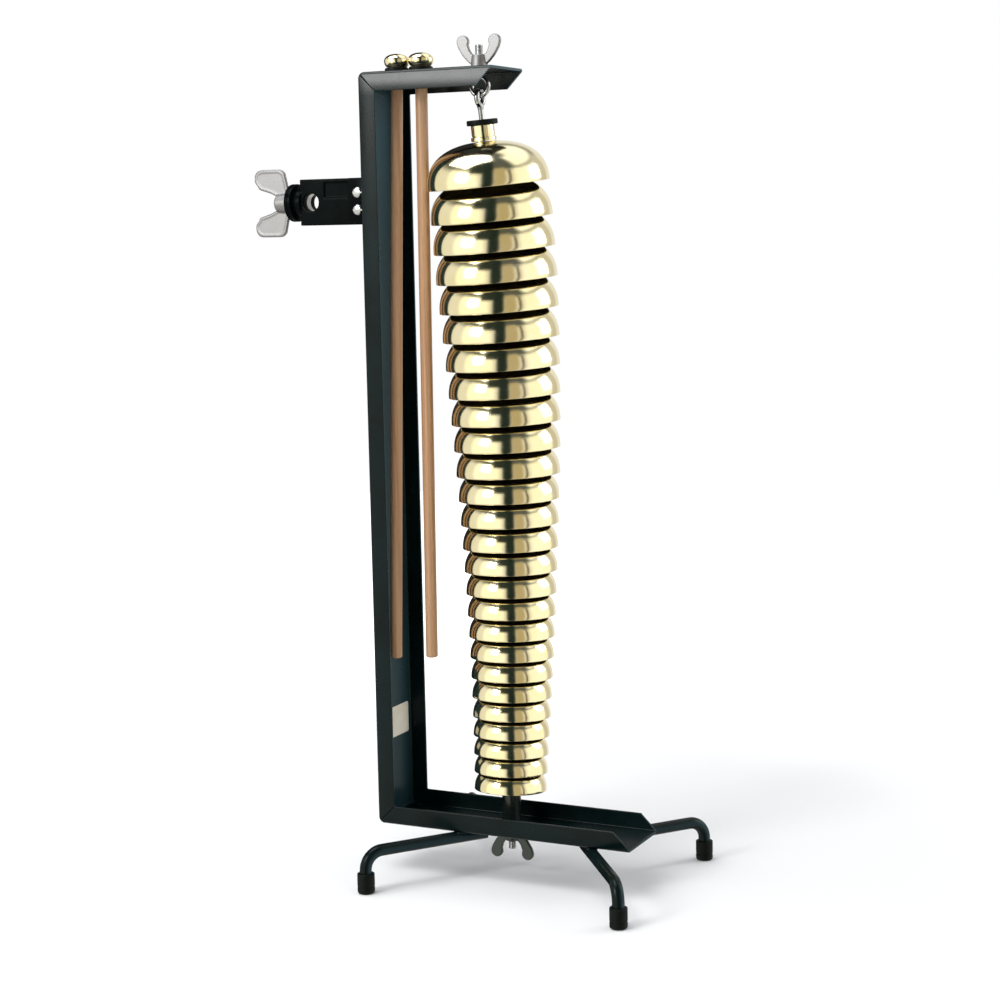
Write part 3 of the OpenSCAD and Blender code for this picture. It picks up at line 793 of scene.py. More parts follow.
def weld_tree():
    tree, size = new_tree("weld_bead", (
        ("Start", "Vector", None), ("End", "Vector", None), ("Spacing", "Float", 0.0022),
        ("Drop", "Float", 0.0022), ("Seed", "Int", 7), ("Finish", "Material", None),
    ))
    line = node(tree, "GeometryNodeCurvePrimitiveLine", Start=size["Start"], End=size["End"])
    points = node(tree, "GeometryNodeCurveToPoints", {"mode": "LENGTH"}, Curve=line.outputs[0], Length=size["Spacing"])
    drop = node(tree, "GeometryNodeMeshIcoSphere", Radius=size["Drop"], Subdivisions=2)
    spin = node(tree, "FunctionNodeRandomValue", {"data_type": "FLOAT_VECTOR"}, Seed=size["Seed"])
    spin.inputs["Max"].default_value = (0.5, 0.5, math.tau)
    girth = node(tree, "FunctionNodeRandomValue", {"data_type": "FLOAT"}, Seed=size["Seed"] + 1)
    low, high = [s for s in girth.inputs if s.type == "VALUE"][:2]
    low.default_value, high.default_value = 0.85, 1.1
    factor = next(s for s in girth.outputs if s.type == "VALUE")
    beads = node(
        tree, "GeometryNodeInstanceOnPoints", Points=points.outputs["Points"], Instance=drop.outputs[0],
        Scale=factor,
    )
    turned_spin = node(tree, "FunctionNodeEulerToRotation", Euler=spin.outputs[0])
    plug(tree, turned_spin.outputs[0], beads.inputs["Rotation"])
    end_tree(tree, beads.outputs[0], [(size["Finish"], None)])
    return tree


bent_rod, weld_bead = bent_rod_tree(), weld_tree()
print("rod and weld trees ready")

# %% Grow the legs and their welds
LEG_D, FOOT_Y, LEG_BEND_R, TIP_FLOOR = 9.4, 90.0, 14.0, 3.0
LEG_Z = BASE_Z - LEG_D / 2
LEGS = (("near", 22.5, 90.0), ("far", 235.0, 167.0))


def here(x, y, z):
    """A point of the piece's own millimetres, in the model's frame in metres."""
    return tuple(place_mm() @ Vector((x, y, z)))


for reach, foot_x, meet_x in LEGS:
    root_x = meet_x + (foot_x - meet_x) * 6 / FOOT_Y
    run = Vector((foot_x - root_x, FOOT_Y - 6)).normalized()
    for row, side in (("front", -1), ("back", 1)):
        leg = grow(
            f"bent_leg_{row}_{reach}", bent_rod,
            Root=here(root_x, side * 6, LEG_Z), Knee=here(foot_x, side * FOOT_Y, LEG_Z),
            Foot=here(foot_x, side * FOOT_Y, TIP_FLOOR), Diameter=LEG_D * MM,
            Bend_Radius=LEG_BEND_R * MM, Finish=paint,
        )
        dress(leg, "frame", "frame_paint", f"{row}_{reach}_leg")
        across = Vector((-run.y, run.x)) * 2.6
        for edge in (-1, 1):
            start = Vector((root_x, 6)) + run * 1.5 + across * edge
            end = start + run * 24
            weld = grow(
                f"weld_{row}_{reach}_{'inner' if edge < 0 else 'outer'}", weld_bead,
                Start=here(start.x, side * start.y, BASE_Z - 1.0), End=here(end.x, side * end.y, BASE_Z - 1.0),
                Spacing=2.0 * MM, Drop=1.7 * MM, Seed=7 + 2 * edge + side, Finish=paint,
            )
            dress(weld, "frame", "frame_paint")
print("legs:", 2 * len(LEGS))

# %% Turn the rubber tips
TIP_R, TIP_H = 6.8, 16.0
tip_outline = (
    [(0, 0)] + arc(TIP_R - 2.0, 2.0, 2.0, -90, 0)
    + [(TIP_R, 4.6), (TIP_R - 0.35, 5.0), (TIP_R - 0.35, 5.6), (TIP_R, 6.0)]
    + arc(TIP_R - 0.9, TIP_H - 0.9, 0.9, 0, 90)
    + [(LEG_D / 2 + 0.2, TIP_H), (LEG_D / 2 + 0.02, TIP_H - 0.4), (LEG_D / 2 + 0.02, TIP_FLOOR), (0, TIP_FLOOR)]
)
for reach, foot_x, _ in LEGS:
    for row, side in (("front", -1), ("back", 1)):
        tip = turned(f"rubber_tip_{row}_{reach}", tip_outline, rubber, Matrix.Translation((foot_x, side * FOOT_Y, 0)))
        dress(tip, "frame", "rubber", "rubber_tips")
print("tips: 4")

# %% [markdown]
# ## The blank sticker
#
# A small paper sticker sits inside the upright. It is a thin rounded plate, and nothing is printed on it.


# %% Cut the sticker
def make_sticker():
    width, height, y, z, corner = 33.0, 25.0, 5.5, 114.3, 1.6
    outline = []
    for cy, cz, start in ((1, -1, -90), (1, 1, 0), (-1, 1, 90), (-1, -1, 180)):
        centre = (y + cy * (width / 2 - corner), z + cz * (height / 2 - corner))
        outline += arc(*centre, corner, start, start + 90, 4)
    bm = bmesh.new()
    layers = []
    for x in (SHEET_T, SHEET_T + 0.3):
        layers.append([bm.verts.new(place_mm() @ Vector((x, py, pz))) for py, pz in outline])
    bm.faces.new(layers[0])
    bm.faces.new(list(reversed(layers[1])))
    for k in range(len(outline)):
        n = (k + 1) % len(outline)
        bm.faces.new((layers[0][k], layers[1][k], layers[1][n], layers[0][n]))
    bmesh.ops.recalc_face_normals(bm, faces=bm.faces)
    return piece_from(bm, "paper_sticker", paper)


dress(make_sticker(), "frame", "label_film", "blank_label")
print("sticker ready")

# %% [markdown]
# ## Threads and wing nuts
#
# A thread is a cylinder whose radius rises and falls once a turn as it climbs. One tree makes every thread
# here from its diameter, pitch and length. The wing nuts are forged: hub and wings are laid over one
# another as plain solids, then melted into one soft skin.


# %% The tree of a thread
def thread_tree():
    tree, size = new_tree("screw_thread", (
        ("Diameter", "Float", 0.006), ("Pitch", "Float", 0.001), ("Depth", "Float", 0.0005),
        ("Length", "Float", 0.02), ("Rows", "Int", 120), ("Place", "Vector", None),
        ("Axis Turn", "Vector", None), ("Finish", "Material", None),
    ))
    columns = 24
    grid = node(
        tree, "GeometryNodeMeshGrid", Size_X=1.0, Size_Y=1.0, Vertices_X=columns + 1, Vertices_Y=size["Rows"],
    )
    u, v, _ = parts_of(tree, grid.outputs["UV Map"])
    climb = v * size["Length"]
    phase = (climb / size["Pitch"] - u).math("FRACT")
    ridge = ((phase - 0.5).math("ABSOLUTE") * 2.0).rise(0.1, 0.9)
    ends = v.rise(0.0, 0.04) * v.flip().rise(0.0, 0.04)
    radius = size["Diameter"] * 0.5 - size["Depth"] * (ridge * ends).flip()
    turn = u * math.tau
    bent = node(
        tree, "GeometryNodeSetPosition", Geometry=grid.outputs["Mesh"],
        Position=vector(tree, turn.math("COSINE") * radius, turn.math("SINE") * radius, climb),
    )
    joined = tree.nodes.new("GeometryNodeJoinGeometry")
    tree.links.new(bent.outputs[0], joined.inputs[0])
    for end, flipped in ((0.0, True), (1.0, False)):
        lid = node(
            tree, "GeometryNodeMeshCircle", {"fill_type": "TRIANGLE_FAN"}, Vertices=columns,
            Radius=size["Diameter"] * 0.5 - size["Depth"],
        )
        moved = node(
            tree, "GeometryNodeTransform", Geometry=lid.outputs[0],
            Translation=vector(tree, 0.0, 0.0, size["Length"] * end),
        )
        last = node(tree, "GeometryNodeFlipFaces", Mesh=moved.outputs[0]).outputs[0] if flipped else moved.outputs[0]
        tree.links.new(last, joined.inputs[0])
    welded = node(tree, "GeometryNodeMergeByDistance", Geometry=joined.outputs[0], Distance=1e-6)
    aim = node(tree, "FunctionNodeEulerToRotation", Euler=size["Axis Turn"])
    placed = node(
        tree, "GeometryNodeTransform", Geometry=welded.outputs[0], Translation=size["Place"], Rotation=aim.outputs[0],
    )
    end_tree(tree, placed.outputs[0], [(size["Finish"], None)])
    return tree


screw_thread = thread_tree()


def thread(name, diameter, pitch, length, place, aim, finish):
    return grow(
        name, screw_thread, 60.0, Diameter=diameter * MM, Pitch=pitch * MM, Depth=0.3 * pitch * MM,
        Length=length * MM, Rows=int(length / pitch * 6) + 1, Place=here(*place), Axis_Turn=aim, Finish=finish,
    )


print("thread tree ready")


# %% Forge a small wing nut
def small_wing_nut(name, matrix, finish):
    """A wing nut that stands on z = 0 with its wings rising along X."""
    bm = bmesh.new()
    hub = [(3.1, 0.0), (6.5, 0.0), (6.4, 1.2), (5.6, 7.0), (5.2, 9.0), (3.1, 9.0)]
    add_turned(bm, hub, 48)
    tip_x, tip_z, tip_r = 13.5, 19.0, 5.0
    wing = (
        [(3.3, 1.6), (6.2, 1.5), (9.6, 4.2), (13.6, 8.6), (17.1, 14.2)]
        + arc(tip_x, tip_z, tip_r, -25, 175, 12)
        + [(9.0, 16.4), (7.8, 12.5), (5.8, 9.7), (3.6, 8.8)]
    )
    for turn in (0, math.pi):
        add_plate(bm, wing, 3.3, Matrix.Rotation(turn, 4, "Z"))
    return fused(name, bm, 0.42, finish, matrix, 5)


NUT_SEAT_TOP = FRAME_H + 1.2
upper_nut = small_wing_nut("arm_wing_nut_forged", Matrix.Translation((HANGER_X, 0, NUT_SEAT_TOP)), cast_plating)
dress(upper_nut, "arm_wing_nut", "chrome", "upper_wing_nut")
below = Matrix.Translation((STUD_X, 0, BASE_Z - 1.2)) @ Matrix.Rotation(math.pi, 4, "X")
# The nut under the base takes the near-black plating, painted shade for the shadow it sits in.
lower_nut = small_wing_nut("base_wing_nut_forged", below, dull_plating)
dress(lower_nut, "base_wing_nut", "chrome", "lower_wing_nut")
print("nut faces:", len(upper_nut.data.polygons))

# %% [markdown]
# ## The hanger and the rod
#
# The bells hang from an eye under the arm. The rod ends in a ring that is linked through it, runs down
# through all the bells in a slight bow, and passes the base as a threaded stud. The eye and the ring are
# bent wire, so each is melted together with its stem.


# %% Bend the eye and the ring
EYE_Z, EYE_R, EYE_WIRE, HOOK_R, HOOK_WIRE = 618.5, 7.0, 4.0, 5.5, 4.2
HOOK_Z = EYE_Z - EYE_R + (EYE_WIRE + HOOK_WIRE) / 2 - HOOK_R


def add_ring(bm, major, wire, matrix, around=48, section=20):
    """Adds a wire ring whose axis is Z."""
    rows = []
    for k in range(around):
        a = math.tau * k / around
        rows.append([
            bm.verts.new(matrix @ Vector((
                (major + wire / 2 * math.cos(b)) * math.cos(a),
                (major + wire / 2 * math.cos(b)) * math.sin(a),
                wire / 2 * math.sin(b),
            )))
            for b in (math.tau * j / section for j in range(section))
        ])
    for k in range(around):
        low, high = rows[k], rows[(k + 1) % around]
        for j in range(section):
            n = (j + 1) % section
            bm.faces.new((low[j], high[j], high[n], low[n]))


def make_eye():
    bm = bmesh.new()
    add_ring(bm, EYE_R, EYE_WIRE, Matrix.Translation((0, 0, EYE_Z)) @ Matrix.Rotation(math.pi / 2, 4, "X"))
    neck_z = EYE_Z + EYE_R
    add_turned(bm, [(0, neck_z - 1), (2.2, neck_z - 1), (2.9, neck_z + 2), (2.9, FRAME_H + 1), (0, FRAME_H + 1)], 32)
    return fused("hanger_eye_wire", bm, 0.34, plating, Matrix.Translation((HANGER_X, 0, 0)), 4)


dress(make_eye(), "frame", "chrome", "hanger_eye")
stud = thread("hanger_thread", STUD_D, 1.0, 649.5 - FRAME_H - 0.5, (HANGER_X, 0, FRAME_H + 0.5), (0, 0, 0), plating)
dress(stud, "frame", "chrome", "hanger_eye")


def rod_tree():
    tree, size = new_tree("bowed_rod_tube", (
        ("Bow Radius", "Float", 2.83), ("Low Angle", "Float", 0.0),
        ("High Angle", "Float", 0.08), ("Diameter", "Float", 0.004), ("Steps", "Int", 64), ("Finish", "Material", None),
    ))
    line = node(tree, "GeometryNodeCurvePrimitiveLine")
    steps = node(tree, "GeometryNodeResampleCurve", Curve=line.outputs[0], Count=size["Steps"])
    along = Wire(tree, node(tree, "GeometryNodeSplineParameter").outputs["Factor"])
    angle = size["Low Angle"] + (size["High Angle"] - size["Low Angle"]) * along
    spot = vector(tree, angle.math("COSINE") * size["Bow Radius"], 0.0, angle.math("SINE") * size["Bow Radius"])
    bowed = node(tree, "GeometryNodeSetPosition", Geometry=steps.outputs[0], Position=spot)
    ring = node(tree, "GeometryNodeCurvePrimitiveCircle", Resolution=24, Radius=size["Diameter"] * 0.5)
    tube = node(
        tree, "GeometryNodeCurveToMesh", Curve=bowed.outputs[0], Profile_Curve=ring.outputs[0], Fill_Caps=True,
    )
    end_tree(tree, tube.outputs[0], [(size["Finish"], None)])
    return tree


low_s = (SLEEVE_TOP_Z - 3 - bow_middle.z) / math.cos(BOW_LEAN)
rod = grow(
    "bowed_rod_wire", rod_tree(), Bow_Radius=BOW_R * MM, Low_Angle=math.asin(low_s / BOW_R),
    High_Angle=math.asin(chord.length / 2 / BOW_R), Diameter=ROD_D * MM, Steps=64, Finish=plating,
)
rod.data.transform(place_mm(bow_centre) @ Matrix.Scale(1 / MM, 4))
dress(rod, "frame", "chrome", "bowed_rod")


def make_hook():
    bm = bmesh.new()
    ring = Matrix.Translation((HANGER_X, 0, HOOK_Z)) @ Matrix.Rotation(math.pi / 2, 4, "Y")
    add_ring(bm, HOOK_R, HOOK_WIRE, ring)
    neck = [(0, -6), (2.0, -6), (2.0, -4), (2.7, -1), (2.0, 0.5), (0, 0.5)]
    add_turned(bm, neck, 32, on_bow(chord.length / 2))
    return fused("rod_ring_wire", bm, 0.34, plating, None, 3)


dress(make_hook(), "frame", "chrome", "bowed_rod")
lower_stud = turned(
    "lower_stud_shank", [(0, 34.0), (3.0, 34.0), (3.0, SLEEVE_TOP_Z - 0.4), (2.6, SLEEVE_TOP_Z), (0, SLEEVE_TOP_Z)],
    plating, Matrix.Translation((STUD_X, 0, 0)),
)
dress(lower_stud, "frame", "chrome", "bowed_rod")
lower_thread = thread("lower_stud_thread", STUD_D, 1.0, 15.0, (STUD_X, 0, 20.0), (0, 0, 0), plating)
dress(lower_thread, "frame", "chrome", "bowed_rod")
print("ring at", HANGER_X, round(HOOK_Z, 2), "its foot", round(HOOK_Z - HOOK_R, 2))

# %% [markdown]
# ## Turned fittings on the rod
#
# A brass collar under a black washer holds the first bell, and a dark tube spaces the last bell from the
# base. Both are outlines spun round the rod, set square to it on the bow.

# %% Turn the collar, its washer and the lower tube
COLLAR_H, COLLAR_WASHER_T = 12.0, 4.15
collar_outline = (
    [(2.1, 0), (9.4, 0), (9.8, 0.4), (9.8, 2.5), (9.5, 3.0), (8.5, 3.1), (8.5, 3.9), (9.0, 4.1)]
    + [(9.0, COLLAR_H - 0.3), (8.7, COLLAR_H), (2.1, COLLAR_H)]
)
on_crown = on_bow(crown_s[0] + TURN_GAP)
collar = turned("brass_collar", collar_outline, brass, on_crown, 64)
dress(collar, "frame", "brass", "top_collar")
washer_outline = (
    [(2.1, 0), (10.6, 0)] + arc(11.0, 1.0, 1.0, -90, 0, 4) + arc(11.0, COLLAR_WASHER_T - 1.0, 1.0, 0, 90, 4)
    + [(4.0, COLLAR_WASHER_T - 0.4), (2.1, COLLAR_WASHER_T - 0.8)]
)
collar_washer = turned("black_collar_washer", washer_outline, rubber, on_crown @ Matrix.Translation((0, 0, COLLAR_H)), 64)
dress(collar_washer, "frame", "rubber", "collar_washer")
low, high = BASE_Z + SHEET_T, SLEEVE_TOP_Z
sleeve_outline = [(3.1, low), (7.0, low), (7.5, low + 0.5), (7.5, high - 0.6), (6.9, high), (3.1, high)]
sleeve = turned("lower_tube", sleeve_outline, tube_plastic, Matrix.Translation((STUD_X, 0, 0)), 64)
dress(sleeve, "frame", "sleeve_plastic", "lower_sleeve")
print("collar on", round(on_crown.translation.z, 1), "mm")

# %% [markdown]
# ## The mallets
#
# Two hardwood dowels with brass knobs are parked head up in rubber grommets. Each leans a little in its
# loose hole, and the whole mallet lifts out along its own shaft.

# %% Turn the grommets and the mallets
SHAFT_R, MALLET_LEN, HEAD_R, HEAD_H, GROMMET_RISE, HEAD_GAP = 4.75, 476.0, 9.9, 10.0, 4.0, 0.45
grommet_outline = (
    [(5.25, -3.6), (5.6, -4.0)] + arc(7.4, -3.2, 0.8, -90, 0, 4) + [(8.2, -2.0), (6.6, -2.0), (6.6, 0.0)]
    + arc(8.6, 0.8, 0.8, -90, 0, 4) + arc(7.9, 2.5, 1.5, 0, 90, 5) + [(5.9, 4.0), (5.25, 3.4)]
)
knob = []
for k in range(15):
    a = math.radians(-38 + 128 * k / 14)
    lift = 5.6 if a > 0 else 6.9
    knob.append((HEAD_R * math.cos(a) ** 0.86, 4.4 + lift * math.copysign(abs(math.sin(a)) ** 0.95, a)))
knob[-1] = (0, HEAD_H)
knob = [(0, knob[0][1])] + knob
shaft_outline = [(0, 0)] + arc(SHAFT_R - 1.5, 1.5, 1.5, -90, 0, 5) + [(SHAFT_R, 120), (SHAFT_R, 300), (SHAFT_R, 473), (0, 473)]
for label, x, lean in (("inner", MALLET_X[0], (-7.4, -13.6)), ("outer", MALLET_X[1], (-3.1, 0.0))):
    grommet = turned(f"rubber_grommet_{label}", grommet_outline, rubber, Matrix.Translation((x, 0, FRAME_H)), 48)
    dress(grommet, "frame", "rubber", "mallet_grommets")
    pivot = Matrix.Translation((x, 0, FRAME_H + GROMMET_RISE + HEAD_GAP))
    tilt = Matrix.Rotation(math.atan(-lean[0] / MALLET_LEN), 4, "Y") @ Matrix.Rotation(math.atan(lean[1] / MALLET_LEN), 4, "X")
    head = turned(f"mallet_knob_{label}", knob, brass, pivot @ tilt, 64)
    dress(head, f"{label}_mallet", "brass", f"{label}_mallet_head")
    shaft_top = pivot @ tilt @ Matrix.Translation((0, 0, HEAD_H - MALLET_LEN))
    shaft = turned(f"mallet_dowel_{label}", shaft_outline, wood, shaft_top, 48)
    dress(shaft, f"{label}_mallet", "shaft_wood", f"{label}_mallet_shaft")
print("mallets: 2")

# %% [markdown]
# ## The rod clamp
#
# Behind the upright, a folded bracket carries a cast body with a cross hole. A big cast wing nut draws an
# eye bolt against a stand's rod. The casting is a copy of the construction's own solid, melted into a soft
# skin, because that keeps its bore and pockets where they belong.


# %% Cast the body and fold its bracket
def melted_copy(name, source, voxel, finish, rounds):
    """A casting's soft skin over a construction node, made in millimetres."""
    bm = bmesh.new()
    bm.from_mesh(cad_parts[source].data)
    bmesh.ops.transform(bm, matrix=place_mm().inverted(), verts=bm.verts)
    bmesh.ops.remove_doubles(bm, verts=bm.verts, dist=0.001)
    return fused(name, bm, voxel, finish, None, rounds)


body = melted_copy("clamp_casting", "clamp_body", 0.5, clamp_paint, 5)
dress(body, "frame", "clamp_paint", "clamp_body")


def make_bracket():
    ear, ear_t, plate_t, reach = CLAMP_W / 2 + 0.1, 2.5, 3.0, 21.0
    outer, inner = ear + ear_t, 1.2
    outline = (
        [(-reach, -outer)] + arc(-3.2, -outer + 3.2, 3.2, -90, 0, 6) + arc(-3.2, outer - 3.2, 3.2, 0, 90, 6)
        + [(-reach, outer), (-reach, ear)] + arc(-plate_t - inner, ear - inner, inner, 90, 0, 4)
        + arc(-plate_t - inner, -ear + inner, inner, 0, -90, 4) + [(-reach, -ear)]
    )
    bm = bmesh.new()
    upright_turn = Matrix.Rotation(math.pi / 2, 4, "X")
    add_plate(bm, outline, CLAMP_H, Matrix.Translation((0, 0, CLAMP_Z)) @ upright_turn)
    bmesh.ops.recalc_face_normals(bm, faces=bm.faces)
    obj = piece_from(bm, "clamp_bracket_folded", clamp_paint, 30.0)
    round_over = obj.modifiers.new("round", "BEVEL")
    round_over.width, round_over.segments, round_over.limit_method = 0.5, 2, "ANGLE"
    round_over.angle_limit = math.radians(40)
    bake_modifiers(obj)
    obj.data.transform(place_mm())
    obj.data.set_sharp_from_angle(angle=math.radians(35))
    return obj


dress(make_bracket(), "frame", "clamp_paint", "clamp_bracket")
print("casting faces:", len(body.data.polygons))


# %% Repeat the screws and their nuts
def row_tree():
    tree, size = new_tree("row_of_copies", (
        ("Part", "Object", None), ("Start", "Vector", None), ("Step", "Vector", None),
        ("Count", "Int", 2), ("Finish", "Material", None),
    ))
    part = node(tree, "GeometryNodeObjectInfo", {"transform_space": "ORIGINAL"}, Object=size["Part"])
    line = node(tree, "GeometryNodeMeshLine", Count=size["Count"], Start_Location=size["Start"], Offset=size["Step"])
    copies = node(
        tree, "GeometryNodeInstanceOnPoints", Points=line.outputs[0], Instance=part.outputs["Geometry"],
    )
    end_tree(tree, copies.outputs[0], [(size["Finish"], None)])
    return tree


def make_screw_head():
    """A pan head with a slot, pointing to -Y, in metres round its own seat."""
    to_front = Matrix.Scale(MM, 4) @ Matrix.Rotation(math.pi / 2, 4, "X")
    bm = bmesh.new()
    add_turned(bm, [(0, 0), (4.3, 0)] + arc(2.6, 0.9, 1.7, 0, 90, 6) + [(0, 2.75)], 40, to_front)
    bmesh.ops.recalc_face_normals(bm, faces=bm.faces)
    head = piece_from(bm, "pan_head", plating)
    bm = bmesh.new()
    bmesh.ops.create_cube(bm, size=1.0, matrix=to_front @ Matrix.Translation((0, 0, 2.6)) @ Matrix.Diagonal((9, 1.1, 2.2, 1)))
    cutter = piece_from(bm, "slot_cutter", plating)
    cut = head.modifiers.new("slot", "BOOLEAN")
    cut.operation, cut.solver, cut.object = "DIFFERENCE", "EXACT", cutter
    bake_modifiers(head)
    bpy.data.objects.remove(cutter, do_unlink=True)
    return head


def make_hex_nut():
    """A hexagon nut with its bolt end, pointing to +Y, in metres round its own seat."""
    to_rear = Matrix.Scale(MM, 4) @ Matrix.Rotation(-math.pi / 2, 4, "X")
    bm = bmesh.new()
    add_turned(bm, [(0, 0), (4.0, 0), (4.3, 0.4), (4.3, 3.6), (4.0, 4.0), (2.6, 4.0), (2.5, 4.9), (0, 4.9)], 6, to_rear)
    bmesh.ops.recalc_face_normals(bm, faces=bm.faces)
    return piece_from(bm, "hexagon_nut", plating, 30.0)


row_of_copies = row_tree()
EAR_OUT, SCREW_X, SCREW_RISE = CLAMP_W / 2 + 0.1 + 2.5, 12.0, 6.75
step = (0.0, 0.0, 2 * SCREW_RISE * MM)
for name, part, y in (("clamp_screw_heads", make_screw_head(), -EAR_OUT), ("clamp_hex_nuts", make_hex_nut(), EAR_OUT)):
    row = grow(
        name, row_of_copies, 35.0, Part=part, Start=here(-SCREW_X, y, CLAMP_Z - SCREW_RISE), Step=step, Count=2,
        Finish=plating,
    )
    bpy.data.objects.remove(part, do_unlink=True)
    dress(row, "frame", "chrome", "clamp_screws")
print("screws and nuts in rows")

# %% Turn the cup and cast the big wing nut
AWAY = Matrix.Translation((0, 0, CLAMP_Z)) @ Matrix.Rotation(-math.pi / 2, 4, "Y")
cup_outline = (
    [(4.4, 0), (11.0, 0), (11.0, 1.8), (12.5, 2.2)] + arc(14.2, 2.9, 0.8, -90, 0, 4)
    + [(15.0, 4.2), (14.5, 4.5), (14.5, 5.0), (15.0, 5.3), (15.0, 5.9), (14.5, 6.2), (14.5, 6.6), (15.0, 6.9)]
    + [(14.8, 7.7), (14.2, 8.0), (6.4, 8.0), (6.0, 7.6), (4.4, 7.6)]
)
cup = turned("clamp_cup_turned", cup_outline, clamp_paint, AWAY @ Matrix.Translation((0, 0, CLAMP_LEN + 4)), 64)
dress(cup, "frame", "clamp_paint", "clamp_cup")


def add_bead(bm, points, radius, matrix=None):
    """A round bead laid along a closed line of (x, z) points, for a casting's raised border."""
    matrix = matrix or Matrix()
    for (x0, z0), (x1, z1) in zip(points, points[1:] + points[:1]):
        run = Vector((x1 - x0, 0, z1 - z0))
        if run.length < 1e-6:
            continue
        aim = Vector((0, 0, 1)).rotation_difference(run).to_matrix().to_4x4()
        capsule = arc(0, 0, radius, -90, 0, 3) + arc(0, run.length, radius, 0, 90, 3)
        capsule = [(0, -radius)] + capsule[1:-1] + [(0, run.length + radius)]
        add_turned(bm, capsule, 12, matrix @ Matrix.Translation((x0, 0, z0)) @ aim)


def make_clamp_nut():
    bm = bmesh.new()
    add_turned(bm, [(4.1, 0), (8.0, 0), (8.0, 1.0), (7.2, 13.2), (6.6, 14.0), (4.1, 14.0)], 48)
    corner, span, length = 6.6, 27.0, CLAMP_NUT_LEN
    wing = (
        [(4.6, 2.2), (9.0, 3.0)] + arc(span - corner, 5.6 + corner, corner, -62, 0, 5)
        + arc(span - corner, length - corner, corner, 0, 100, 7) + [(11.5, length - 4.0), (8.2, 20.0), (4.8, 13.4)]
    )
    inner = [(6.4, 3.8)] + [(x - 1.6, z + (1.2 if z < 15 else -1.4)) for x, z in wing[2:-3]] + [(12.2, length - 6.0), (9.6, 20.0), (6.6, 13.6)]
    for turn in (0, math.pi):
        spin = Matrix.Rotation(turn, 4, "Z")
        add_plate(bm, wing, 2.6, spin)
        add_bead(bm, inner, 1.7, spin)
    return fused("clamp_wing_nut_cast", bm, 0.5, cast_plating, AWAY @ Matrix.Translation((0, 0, CLAMP_NUT_X)), 4)


clamp_nut = make_clamp_nut()
dress(clamp_nut, "clamp_nut", "chrome", "clamp_wing_nut")
print("clamp nut faces:", len(clamp_nut.data.polygons))

# %% [markdown]
# ## Pieces that stay as constructed
#
# The washers, the spacers hidden inside the bells and the eye bolt inside the clamp already have their
# true shapes, so they keep the construction's meshes and only get a finish.

# %% Finish the construction's own pieces
for name, finish in (
    ("upper_washer", plating), ("lower_washer", plating), ("clamp_eye_bolt", plating), ("bell_spacers", tube_plastic),
):
    for material_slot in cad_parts[name].material_slots:
        material_slot.material = finish
print("kept construction pieces: 4")

# %% [markdown]
# ## Floor, light and what the brass reflects
#
# Polished metal shows its surroundings, so the studio matters as much as the finish. The camera sees plain
# white. Mirror-like rays see a painted studio instead: a pale room with a dark gap where the photographer
# stands, a thin dark edge between two lit panels and a dark corner behind. Three area lights do the rest.


# %% Paint the studio into the world
FRONT = Vector((math.sin(AZIMUTH), -math.cos(AZIMUTH), 0))
SIDE = Vector((math.cos(AZIMUTH), math.sin(AZIMUTH), 0))


def dot(tree, parts, direction):
    return parts[0] * direction.x + parts[1] * direction.y + parts[2] * direction.z


def paint_world():
    world = bpy.data.worlds.new("studio")
    bpy.context.scene.world = world
    world.use_nodes = True
    tree = world.node_tree
    sky = parts_of(tree, tree.nodes.new("ShaderNodeTexCoord").outputs["Generated"])
    bearing = dot(tree, sky, SIDE).math("ARCTAN2", dot(tree, sky, FRONT)) * (180 / math.pi)
    height = sky[2].math("ARCSINE") * (180 / math.pi)
    colour = (0.86, 0.84, 0.78)
    for (low, high, soft), (bottom, top, edge), tone in STUDIO:
        patch = bearing.band(low, high, soft) * height.band(bottom, top, edge)
        colour = mix_colour(tree, patch, colour, tone)
    paths = tree.nodes.new("ShaderNodeLightPath").outputs
    seen = Wire(tree, paths["Is Glossy Ray"])
    plain = mix_colour(tree, seen, (0.62, 0.64, 0.66), colour)
    shown = mix_colour(tree, Wire(tree, paths["Is Camera Ray"]), plain, (1.0, 1.0, 1.0))
    tree.links.new(shown, tree.nodes["Background"].inputs["Color"])
    return world


STUDIO = (
    ((-180.0, 200.0, 1.0), (32.0, 100.0, 8.0), (0.10, 0.11, 0.11)),
    ((60.0, 175.0, 10.0), (40.0, 75.0, 6.0), (1.30, 1.28, 1.20)),
    ((-84.0, -22.0, 5.0), (-25.0, 34.0, 6.0), (1.25, 1.22, 1.05)),
    ((-14.0, 10.0, 2.5), (-90.0, 90.0, 4.0), (0.012, 0.022, 0.020)),
    ((-42.0, -10.0, 4.0), (24.0, 60.0, 4.0), (0.02, 0.03, 0.025)),
    ((11.0, 34.0, 3.0), (-40.0, 40.0, 5.0), (0.50, 0.42, 0.27)),
    ((39.0, 45.0, 1.0), (-40.0, 32.0, 3.0), (0.10, 0.07, 0.03)),
    ((52.0, 118.0, 6.0), (-40.0, 34.0, 5.0), (1.15, 1.14, 1.02)),
    ((116.0, 142.0, 5.0), (-50.0, 40.0, 6.0), (0.62, 0.60, 0.56)),
    ((-184.0, -128.0, 4.0), (-40.0, 90.0, 5.0), (0.02, 0.02, 0.02)),
)
paint_world()
print("studio patches:", len(STUDIO))


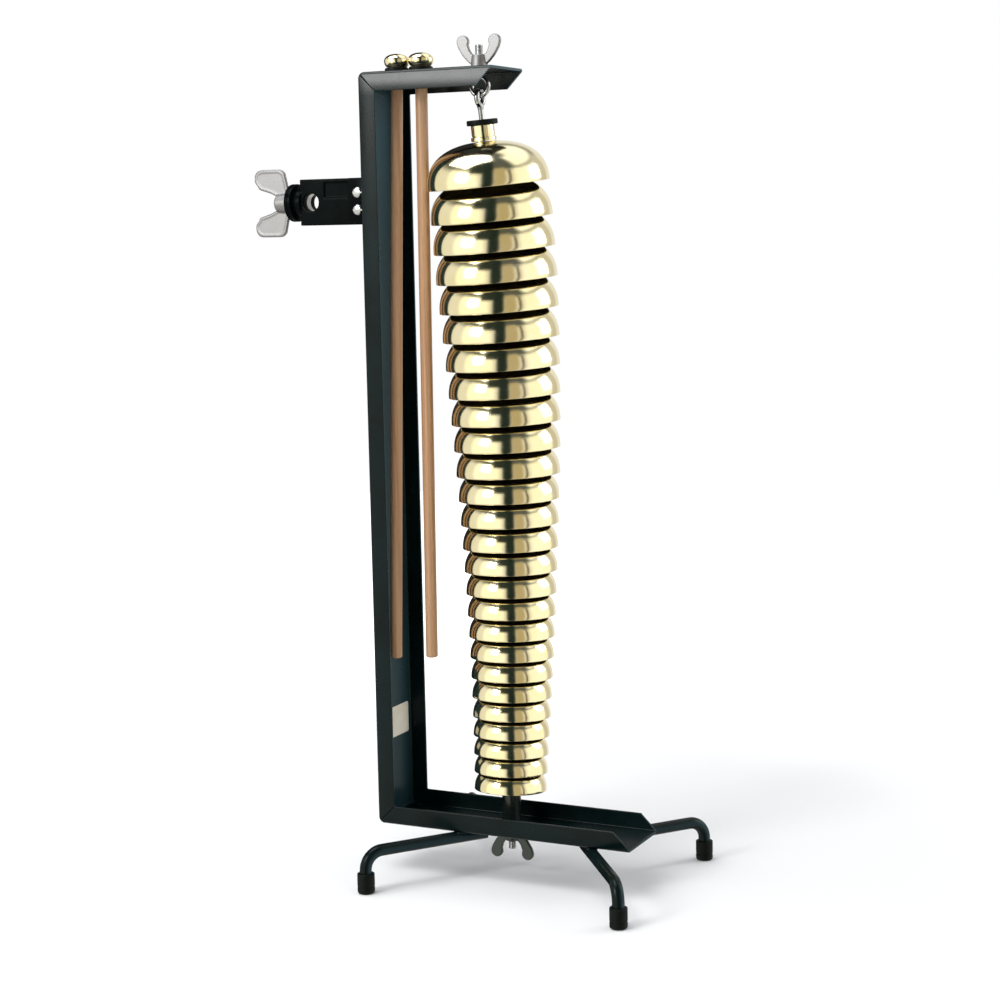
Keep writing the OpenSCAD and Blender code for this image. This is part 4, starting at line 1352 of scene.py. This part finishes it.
# %% Lay the floor and hang the lights
def lay_floor():
    bm = bmesh.new()
    bmesh.ops.create_circle(bm, cap_ends=True, segments=96, radius=2.4)
    material = bpy.data.materials.new("white_floor")
    material.use_nodes = True
    tree = material.node_tree
    shader = tree.nodes["Principled BSDF"]
    shader.inputs["Base Color"].default_value = (0.86, 0.86, 0.86, 1.0)
    shader.inputs["Roughness"].default_value = 0.9
    shader.inputs["Specular IOR Level"].default_value = 0.0
    shader.inputs["Emission Color"].default_value = (1.0, 1.0, 1.0, 1.0)
    paths = tree.nodes.new("ShaderNodeLightPath").outputs
    x, y, _ = parts_of(tree, tree.nodes.new("ShaderNodeTexCoord").outputs["Object"])
    far = (x * x + y * y).math("SQRT").rise(0.35, 0.95)
    plug(tree, Wire(tree, paths["Is Camera Ray"]) * (far * 0.8 + 0.02), shader.inputs["Emission Strength"])
    mesh = bpy.data.meshes.new("floor")
    bm.to_mesh(mesh)
    bm.free()
    mesh.materials.append(material)
    floor = bpy.data.objects.new("floor", mesh)
    bpy.context.collection.objects.link(floor)
    floor.visible_glossy = False


def hang_light(name, bearing, height, distance, size, power, colour=(1.0, 1.0, 1.0)):
    """A square panel that looks at the middle of the object; bearing 0 is the camera's side."""
    middle = Vector((0.0, 0.0, 0.33))
    b, h = math.radians(bearing), math.radians(height)
    out = (FRONT * math.cos(b) + SIDE * math.sin(b)) * math.cos(h) + Vector((0, 0, math.sin(h)))
    data = bpy.data.lights.new(name, "AREA")
    data.shape, data.size, data.energy, data.color = "SQUARE", size, power, colour
    light = bpy.data.objects.new(name, data)
    bpy.context.collection.objects.link(light)
    light.location = middle + out * distance
    light.rotation_euler = out.to_track_quat("Z", "Y").to_euler()
    return light


lay_floor()
hang_light("key_panel", -52.0, 22.0, 1.7, 0.58, 12.0)
hang_light("top_panel", -78.0, 70.0, 1.5, 1.1, 15.0)
hang_light("side_panel", 100.0, 20.0, 1.9, 0.9, 7.0)
bpy.context.scene.view_settings.view_transform = "Standard"
print("floor and three panels")
